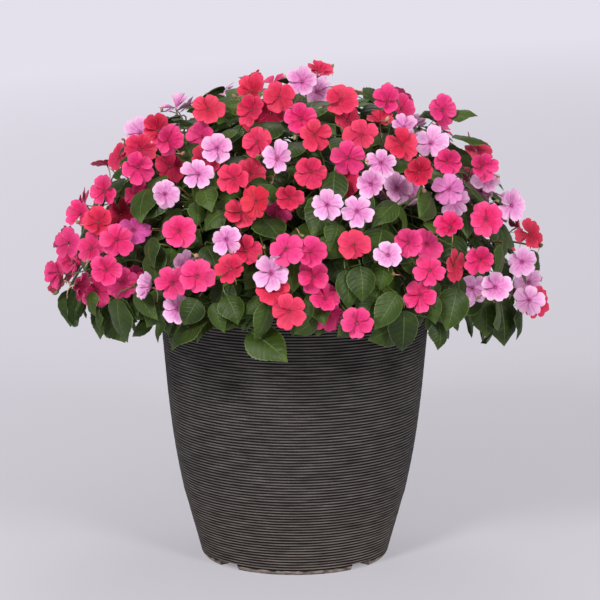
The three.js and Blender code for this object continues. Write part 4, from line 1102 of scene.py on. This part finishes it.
# For each shell: how many places, their levels, how far out it begins and ends, the lengths of its leaves
# in mm, their grid, how few are fresh, and how far forward they grow.
SHELLS = [
    (760, ALL_ROUND, (0.88, 0.96), (38, 62), SMALL_BLADE, FEW_FRESH, EVERYWHERE),
    (36, TOP_ONLY, (0.86, 0.95), (34, 54), SMALL_BLADE, FEW_FRESH, EVERYWHERE),
    (150, SKIRT, (0.86, 0.97), (40, 56), SMALL_BLADE, FEW_FRESH, NOT_IN_FRONT),
    (620, ALL_ROUND, (0.84, 0.93), (28, 46), INNER_BLADE, MORE_FRESH, EVERYWHERE),
    (800, ALL_ROUND, (0.7, 0.84), (50, 74), INNER_BLADE, FEW_FRESH, EVERYWHERE),
    (300, ALL_ROUND, (0.5, 0.6), (60, 90), INNER_BLADE, FEW_FRESH, EVERYWHERE),
    (500, SHOULDERS, (0.74, 0.92), (24, 38), INNER_BLADE, FEW_FRESH, BEHIND),
]
CROWDING = 0.9  # below 1, the places lie closer together higher up

for places, (lowest, highest), shares, lengths, grid, freshness, forward in SHELLS:
    grown = 0
    lowest_tip = CROWN_LEVEL + CROWN_SKIRT * lowest
    for number in rng.permutation(places):
        sine = lowest + (highest - lowest) * ((number + 0.5) / places) ** CROWDING
        leaf = grow_leaf(sine, number * GOLDEN_ANGLE, shares, lengths, lowest_tip)
        if leaf is not None and leaf["tip"][1] > forward:
            add_grown(leaf, grid, freshness)
            grown += 1
    print(grown, "leaves grown at", shares, "of the way out")

for name, stem in stems.items():
    stem["bunch"].show("foliage_" + name[-2:], [leaf_material, stalk_material], "leaf", name)
print(sum(stem["bunch"].triangles() for stem in stems.values()), "triangles of foliage")

# %% [markdown]
# ## Blooms grown at the sides and back
# The plant flowers all round, but the solids can only carry so many blooms, and most of those are at the
# front. So more are grown at the sides and back, in the same way as the leaves: places are spread over the
# crown, and one is used where the cells are free and no other bloom is near. Each joins the spray that it
# is nearest to and takes its colour, so the colours stay in loose patches.

# %% A bloom grown where there is room
BLOOM_PLACES, BLOOMS_APART = 900, 38 * MM
LOWEST_BLOOM, BLOOM_LEVELS = -0.06, 1.02  # the lowest level on the crown, and the span of levels above it
BLOOM_SHARES = (0.97, 1.015)  # how far out their eyes lie
BACKWARD, BACK_FROM = np.array([0, 1, -0.4]), -120 * MM  # leaves the front and its skyline to the solids
GROWN_REACH, GROWN_RISE = (20 * MM, 22.5 * MM), 1.4 * MM  # the same as the solids' blooms
TURNED = 0.22  # the slope by which they are turned from straight out, about
BLOOM_STALK = np.linspace(0.7, 0.9, 8) * MM


def grow_bloom(sine, azimuth):
    """A bloom that faces out of the crown, or nothing if there is no room for one."""
    for _ in range(GROWN_TRIES):
        eye = crown_point(sine, azimuth, rng.uniform(*BLOOM_SHARES))
        front = unit(crown_outward(eye) + rng.normal(size=3) * TURNED)
        first = unit(np.cross(front, rng.normal(size=3)))
        second = np.cross(front, first)
        turns = np.arange(PETALS)[:, None] * 2 * math.pi / PETALS
        petals = rng.uniform(*GROWN_REACH) * (np.cos(turns) * first + np.sin(turns) * second)
        bloom = {"eye": eye, "front": front, "petals": petals, "rises": [GROWN_RISE] * PETALS}
        if room.free(bloom_spots(bloom)):
            return bloom
    return None


def add_bloom_stalk(bunch, bloom):
    """A stalk from behind a grown bloom to the nearest stem."""
    front = bloom["front"]
    behind = bloom["eye"] - 2 * MM * front
    limb, length = nearest_limb(behind - 25 * MM * front)
    stalk = bent(behind, -0.6 * length * front, all_limbs[limb], len(BLOOM_STALK))
    add_stalk(bunch, stalk, BLOOM_STALK, 5, STALK_TINT)


# %% Blooms grown between the others
spray_eyes = np.concatenate([spray["eyes"] for spray in sprays.values()])
spray_owner = np.concatenate([[name] * len(spray["eyes"]) for name, spray in sprays.items()])
grown_eyes = []
for number in rng.permutation(BLOOM_PLACES):
    sine = LOWEST_BLOOM + BLOOM_LEVELS * (number + 0.5) / BLOOM_PLACES
    bloom = grow_bloom(sine, number * GOLDEN_ANGLE)
    if bloom is None or bloom["eye"] @ BACKWARD < BACK_FROM:
        continue
    apart = np.linalg.norm(spray_eyes - bloom["eye"], axis=1)
    others = [np.linalg.norm(eye - bloom["eye"]) for eye in grown_eyes]
    if min([apart.min(), *others]) < BLOOMS_APART:
        continue
    spray = sprays[spray_owner[apart.argmin()]]
    add_bloom(spray["bunch"], bloom, spray["colour"])
    add_bloom_stalk(spray["bunch"], bloom)
    room.take(bloom_spots(bloom))
    grown_eyes.append(bloom["eye"])
print(len(grown_eyes), "blooms grown")

for name, spray in sprays.items():
    finishes = [petal_finishes[spray["colour"]], stalk_material]
    spray["bunch"].show(spray["colour"] + "_spray_" + name[-2:], finishes, spray["colour"], name)
print(sum(spray["bunch"].triangles() for spray in sprays.values()), "triangles of blooms")

# %% [markdown]
# ## The pot
# The pot is turned, so its section is drawn once and carried round the axis. The ribs are real: each is a
# broad rounded crest with a narrow groove below it, 88 of them up the wall. They are never quite level or
# equal, so their heights and depths wander a little. The wall stands on a foot ring with four gaps. The
# ribs could be a bump on a smooth wall, but they are what its outline and its shine show.

# %% The outline of the wall
POT_HEIGHT, WALL = 345 * MM, 7 * MM
# The outline of the wall, in mm.
WALL_HEIGHTS = [0, 5.5, 21.6, 37.6, 53.6, 69.5, 85, 112, 139, 165, 191, 217, 242, 307, 345]
WALL_RADII = [118, 120.7, 125, 129.4, 133.9, 138, 142.7, 148.2, 153.1, 157, 160.2, 163, 165.2, 170.9, 174]
wall_outline = np.array([WALL_HEIGHTS, WALL_RADII]) * MM
RIBS, RIBS_FROM, RIBS_TO, RIB_DEPTH = 88, 7 * MM, 337 * MM, 1.0 * MM
RIB_PROFILE = ((0, 1), (0.2, 0.3), (0.5, 0), (0.8, 0.3))  # how far up the rib, and how deep below its crest
FOOT_INNER, FLOOR_UNDER, FLOOR_TOP, DRAIN = 104 * MM, 9 * MM, 15 * MM, 12 * MM


def pot_radius(height):
    return np.interp(height, *wall_outline)


print("the pot is", round(2 * pot_radius(POT_HEIGHT), 3), "m across its rim")

# %% Its section
# Each point has its radius and height, how far it stands out, which gets the crests' wear and painted
# highlight, and how much it is of the foot.
foot_radius, rim_radius = pot_radius(0), float(pot_radius(POT_HEIGHT))
section = [
    (DRAIN, FLOOR_UNDER, 0.5, 0),
    (FOOT_INNER, FLOOR_UNDER, 0.5, 0),
    (FOOT_INNER + 0.3 * MM, 1 * MM, 0.5, 1),
    (FOOT_INNER + 1.2 * MM, 0, 0.5, 1),
    (foot_radius - 1.4 * MM, 0, 0.5, 1),
    (foot_radius - 0.2 * MM, 1 * MM, 0.8, 1),
    (pot_radius(3 * MM), 3 * MM, 0.9, 1),
    (pot_radius(5.6 * MM), 5.6 * MM, 0.7, 0.9),
]
first_rib = len(section)
for rib in range(RIBS):
    for phase, depth in RIB_PROFILE:
        height = RIBS_FROM + (rib + phase) * ((RIBS_TO - RIBS_FROM) / RIBS)
        section.append((pot_radius(height) - depth * RIB_DEPTH, height, 1 - depth, 0))
past_ribs = len(section)
section += [
    (rim_radius - 1.2 * MM, 337.4 * MM, 0, 0),
    (rim_radius - 0.5 * MM, 339 * MM, 0.8, 0),
    (rim_radius - 0.3 * MM, 342 * MM, 1, 0),
    (rim_radius - 1.0 * MM, 344.3 * MM, 1, 0),
    (rim_radius - 2.2 * MM, POT_HEIGHT, 1, 0),
    (rim_radius - 5 * MM, POT_HEIGHT, 0.6, 0),
    (rim_radius - 6.4 * MM, 344.2 * MM, 0.5, 0),
    (rim_radius - WALL, 342 * MM, 0.4, 0),
]
for height in (300 * MM, 230 * MM, 120 * MM, FLOOR_TOP):
    section.append((pot_radius(height) - WALL, height, 0.3, 0))
section.append((DRAIN, FLOOR_TOP, 0.3, 0))
section = np.array(section)
print(len(section), "points in the pot's section")

# %% The columns round the axis
POT_COLUMNS, FIRST_COLUMN = 120, 0.01  # the first is turned a little, in radians, to miss the gaps' edges
FOOT_GAP_WIDTH, FOOT_GAP_HEIGHT = 31 * MM, 8 * MM
GAP_SIDE = 0.003  # radians either way of a gap's edge, over which the foot rises to the top of the gap

gaps = np.arange(4) * math.pi / 2 + math.pi / 4
half_gap = FOOT_GAP_WIDTH / 2 / (pot_radius(0) - WALL)
edges = [gap + way * half_gap for gap in gaps for way in (-1, 1)]
edge_columns = [edge + nudge for edge in edges for nudge in (-GAP_SIDE, GAP_SIDE)]
even_columns = np.arange(POT_COLUMNS) * 2 * math.pi / POT_COLUMNS + FIRST_COLUMN
turns = np.sort(np.concatenate([even_columns, edge_columns]))
off_gap = (turns[:, None] - gaps + math.pi) % (2 * math.pi) - math.pi
in_gap = (abs(off_gap) < half_gap).any(axis=1)
print(len(turns), "columns,", in_gap.sum(), "of them in the gaps of the foot")

# %% The pot turned round its axis
WANDER, WOBBLE = 0.1, 0.06  # mm by which a rib strays up and down, and in and out


def turned_faces(rows, columns):
    """The faces of a section that is turned round the axis and closed."""
    here = np.arange(rows * columns).reshape(rows, columns)
    above = np.roll(here, -1, axis=0)
    return np.stack([here, np.roll(here, -1, axis=1), np.roll(above, -1, axis=1), above], -1).reshape(-1, 4)


radius, height, crest, foot = (section[:, i][:, None] * np.ones(len(turns)) for i in range(4))
rows = np.arange(len(section))[:, None]
rib = (rows - first_rib) // len(RIB_PROFILE)
ribbed = (rows >= first_rib) & (rows < past_ribs)
# The waves round the pot shift a little from one rib to the next.
wander = np.sin(turns * 2 + rib * 0.37) * 0.6 + np.sin(turns * 5 + rib * 0.8) * 0.4
height = height + np.where(ribbed, wander * WANDER * MM, 0)
radius = radius + np.where(ribbed, np.sin(turns * 3 + rib * 1.7) * WOBBLE * MM, 0)
raised = FOOT_GAP_HEIGHT + height * 0.02  # the points of a gap, still one above the other
height = np.where(in_gap[None, :] & (height < FOOT_GAP_HEIGHT), raised, height)

pot = Bunch()
spots = np.stack([radius * np.cos(turns), radius * np.sin(turns), height], -1)
place = np.stack([crest, height / POT_HEIGHT, foot], -1).reshape(-1, 3)
pot.add(spots, turned_faces(*radius.shape).tolist(), place, (0, 0, 0))
print("ribbed pot,", pot.triangles(), "triangles")

# %% [markdown]
# ## The pot's finish
# The plastic is charcoal and dead matt. Its crests are painted a warm grey-brown while the grooves stay
# dark: partly the wear of handling, and partly painted highlight where the crests would catch the light.
# Low down they are warmer and lighter, and the darker crests higher up are painted shade of the crown.
# The paint could be laid on by hand, rib by rib, but it follows a rule: the colour depends on how far out
# a point is, from the *place* attribute. Noise that is drawn out round the pot makes the rubbing streaky,
# with streaks of painted highlight on the crests. The foot is scuffed to a sandy tan.

# %% Rubbed charcoal plastic


def pot_finish():
    finish = Finish("rubbed_and_lit_charcoal")
    crest, up, foot = finish.attribute("place")
    streak = finish.noise(1, 4, (38, 38, 420))
    cloud = finish.noise(14, 3)
    grain = finish.noise(900, 3)
    scuff = finish.ease(foot + (finish.noise(1, 4, (100, 100, 300)) - 0.5) * 2.0, 0.6, 1.3)
    # The crests' paint, wear and painted highlight: warmer and lighter low down, darker higher up as
    # painted shade of the crown.
    crest_wear_and_light = finish.mix(finish.ease(up, 0.0, 0.45), "7d736b", "6c6663")  # warmer low down
    layers = [
        # Wear and painted highlight on the crests, streaky round the pot.
        (finish.ease(crest + (streak - 0.5) * 0.46 + (cloud - 0.5) * 0.06, 0.64, 1.05), crest_wear_and_light),
        # Painted highlight: brighter streaks along the crests.
        (finish.ease(streak * grain, 0.34, 0.5) * crest * 0.4, "938a7c"),
        (scuff * 0.85, "a3948a"),
    ]
    return finish.close(
        Base_Color=finish.coats("131111", layers),
        Roughness=0.62 + grain * 0.2,
        Specular_IOR_Level=0.15,
        Normal=finish.bump(grain * 0.6 + streak, 0.3 * MM),
    )


pot.show("ribbed_pot", [pot_finish()], "pot", "pot")

# %% [markdown]
# ## The soil
# Potting mix is dark peat with crumbs of bark. The bed is a turned grid whose heights come from a few
# waves and random bumps, closed underneath. The crumbs are small blocks, pressed out of true and strewn
# over it. They could be a bump as well, but light between real crumbs is what makes soil look loose.

# %% Peat and bark


def soil_finish():
    finish = Finish("peat_and_bark")
    _, own, _ = finish.attribute("tint")
    cloud = finish.noise(200, 4)
    return finish.close(
        Base_Color=finish.mix(finish.ease(cloud + own * 0.6, 0.3, 1.2), "1d1510", "6a4a32"),
        Roughness=0.9,
        Specular_IOR_Level=0.2,
        Normal=finish.bump(finish.noise(700, 4), 1 * MM),
    )


soil_material = soil_finish()

# %% The bed
SOIL_TOP, SOIL_MOUND, SOIL_UNDER = 318 * MM, 5 * MM, 296 * MM
BED_ROWS, BED_COLUMNS, BED_ROUGHNESS = 30, 90, 0.8  # the last in mm
bed_radius = pot_radius(SOIL_TOP) - WALL - 0.4 * MM  # clear of the wall


def bed_height(x, y):
    """A low mound under crossing waves, up to 1.6 mm high."""
    mound = SOIL_TOP + SOIL_MOUND * (1 - np.hypot(x, y) / bed_radius)
    return mound + MM * (np.sin(x * 190 + 1) * np.cos(y * 160) + 0.6 * np.sin(x * 420 + y * 380))


turns = np.arange(BED_COLUMNS) * 2 * math.pi / BED_COLUMNS
reach = np.linspace(0.02, 1, BED_ROWS)[:, None] * bed_radius
x, y = reach * np.cos(turns), reach * np.sin(turns)
z = bed_height(x, y) + rng.uniform(-BED_ROUGHNESS, BED_ROUGHNESS, x.shape) * MM
x = np.concatenate([x, x[-1:], x[:1]])
y = np.concatenate([y, y[-1:], y[:1]])
z = np.concatenate([z, np.full((2, BED_COLUMNS), SOIL_UNDER)])
faces = turned_faces(*x.shape)[:, [0, 3, 2, 1]]  # turned over, because this section runs over the top first

soil = Bunch()
soil.add(np.stack([x, y, z], -1), faces.tolist(), (0, 0, 0), (0, 0.2, 0))
print("bed of", soil.triangles(), "triangles")

# %% The crumbs
CRUMBS, CRUMB_LIFT = 620, 0.6 * MM
CRUMB_LENGTHS, CRUMB_WIDTHS, CRUMB_HEIGHT = (2, 7), (1.2, 3.5), 1.1  # halves of each, in mm
CRUMB_SHAPES = (0.6, 1)  # how far each corner stands out
CRUMBS_WITHIN = 0.97  # of the bed's radius
block = np.array([[i, j, k] for k in (-1, 1) for j in (-1, 1) for i in (-1, 1)], float)
block_faces = [[0, 2, 3, 1], [4, 5, 7, 6], [0, 1, 5, 4], [2, 6, 7, 3], [0, 4, 6, 2], [1, 3, 7, 5]]

for _ in range(CRUMBS):
    out, turn = bed_radius * CRUMBS_WITHIN * math.sqrt(rng.random()), rng.uniform(0, 2 * math.pi)
    spot = np.array([out * math.cos(turn), out * math.sin(turn), 0])
    spot[2] = bed_height(spot[0], spot[1]) + CRUMB_LIFT
    first = unit(rng.normal(size=3) * [1, 1, 0.3])
    second = unit(np.cross(first, rng.normal(size=3)))
    third = np.cross(first, second) * CRUMB_HEIGHT
    axes = np.stack([first * rng.uniform(*CRUMB_LENGTHS), second * rng.uniform(*CRUMB_WIDTHS), third])
    corners = spot + (block * rng.uniform(*CRUMB_SHAPES, block.shape)) @ axes * MM
    soil.add(corners, block_faces, (0, 0, 0), (0, rng.random(), 0))
soil.show("bark_bed", [soil_material], "soil", "soil")
print("soil,", soil.triangles(), "triangles")

# %% [markdown]
# ## The studio
# The pot stands on a plain pale floor that runs far behind it, so the floor is the background too. A
# backdrop could hang behind it instead, but then its edge would have to be hidden. The floor's paint and
# its glow grow a little lighter with distance, and sooner on the left, as painted light. It glows faintly,
# which is painted light too: it stands for the light that a white room throws back and lifts the shadows
# on the floor. Large soft lamps and a pale sky leave only a faint shadow at the foot of the pot.

# %% Floor
FLOOR_EDGE = 40  # metres out from the pot
# The floor's painted light grows between these distances out.
FLOOR_NEAR, FLOOR_FAR = 0.4, 7.0  # metres out to where the floor starts to grow lighter, and stops
FLOOR_LEAN = 0.7  # how much sooner it does on the left


def floor_finish():
    finish = Finish("studio_floor")
    where = finish.node("ShaderNodeTexCoord", output="Object")
    far = finish.node("ShaderNodeVectorMath", {"operation": "LENGTH"}, {0: where}, output="Value")
    across = finish.node("ShaderNodeSeparateXYZ", sockets={0: where}, output=0)
    limits = {"Value": far - across * FLOOR_LEAN, "From Min": FLOOR_NEAR, "From Max": FLOOR_FAR}
    share = finish.node("ShaderNodeMapRange", sockets=limits)
    # Painted light: the floor's paint and its glow grow lighter with distance, and sooner on the left.
    return finish.close(
        Base_Color=finish.mix(share, "9c9aa0", "b4b0bb"),
        Roughness=0.75,
        Specular_IOR_Level=0.1,
        # The glow is painted light, which stands for the light that the room throws back and lifts the
        # floor's shadows.
        Emission_Color=finish.mix(share, "959398", "ccc9d2"),
        Emission_Strength=1.0,
    )


corners = [(x * FLOOR_EDGE, y * FLOOR_EDGE, 0) for x, y in ((-1, -1), (1, -1), (1, 1), (-1, 1))]
mesh = bpy.data.meshes.new("studio_floor")
mesh.from_pydata(corners, [], [(0, 1, 2, 3)])
mesh.materials.append(floor_finish())
floor = bpy.data.objects.new("studio_floor", mesh)
bpy.context.collection.objects.link(floor)
print("floor,", 2 * FLOOR_EDGE, "m wide")

# %% Sky and lamps
SKY_PAINT, SKY_STRENGTH = "f8f6fb", 0.37
LAMPS_AIM = Vector((0, 0, 0.35))
# For each lamp: its place, the width of its disk and its power in watts.
LAMPS = {
    "left_lamp": ((-1.4, -2.9, 2.4), 0.8, 86),
    "right_lamp": ((1.7, -2.8, 2.2), 1.0, 61),
    "back_lamp": ((0.2, 2.2, 3.2), 1.6, 30),
}

world = bpy.data.worlds.new("studio_sky")
world.use_nodes = True
sky = world.node_tree.nodes["Background"]
sky.inputs["Color"].default_value = paint(SKY_PAINT)
sky.inputs["Strength"].default_value = SKY_STRENGTH
bpy.context.scene.world = world

for name, (place, width, power) in LAMPS.items():
    light = bpy.data.lights.new(name, "AREA")
    light.shape, light.size, light.energy = "DISK", width, power
    holder = bpy.data.objects.new(name, light)
    holder.location = place
    holder.rotation_euler = (LAMPS_AIM - Vector(place)).to_track_quat("-Z", "Y").to_euler()
    bpy.context.collection.objects.link(holder)
    print(name, "of", power, "W,", round((LAMPS_AIM - Vector(place)).length, 2), "m away")

# %% [markdown]
# ## The camera
# A wide lens close by would swell the blooms in front and hide the rest of the dome. So a long lens looks
# from a few metres off, a little above the rim and tilted down by ten degrees.

# %% Camera
LENS, SENSOR = 165, 36  # mm
CAMERA_PLACE = (0, -3.45, 0.961)
TILT_DOWN = 10.37
AXIS_SHIFT = 5.2 / 600  # the pot stands that share of the picture left of its middle

camera = bpy.data.cameras.new("camera")
camera.lens, camera.sensor_width, camera.sensor_fit = LENS, SENSOR, "HORIZONTAL"
camera.shift_x = AXIS_SHIFT
holder = bpy.data.objects.new("camera", camera)
holder.location = CAMERA_PLACE
holder.rotation_euler = (math.radians(90 - TILT_DOWN), 0, 0)
bpy.context.collection.objects.link(holder)
bpy.context.scene.camera = holder
bpy.context.scene.view_settings.view_transform = "Standard"
print("the camera sees", round(math.degrees(camera.angle), 1), "degrees from side to side")
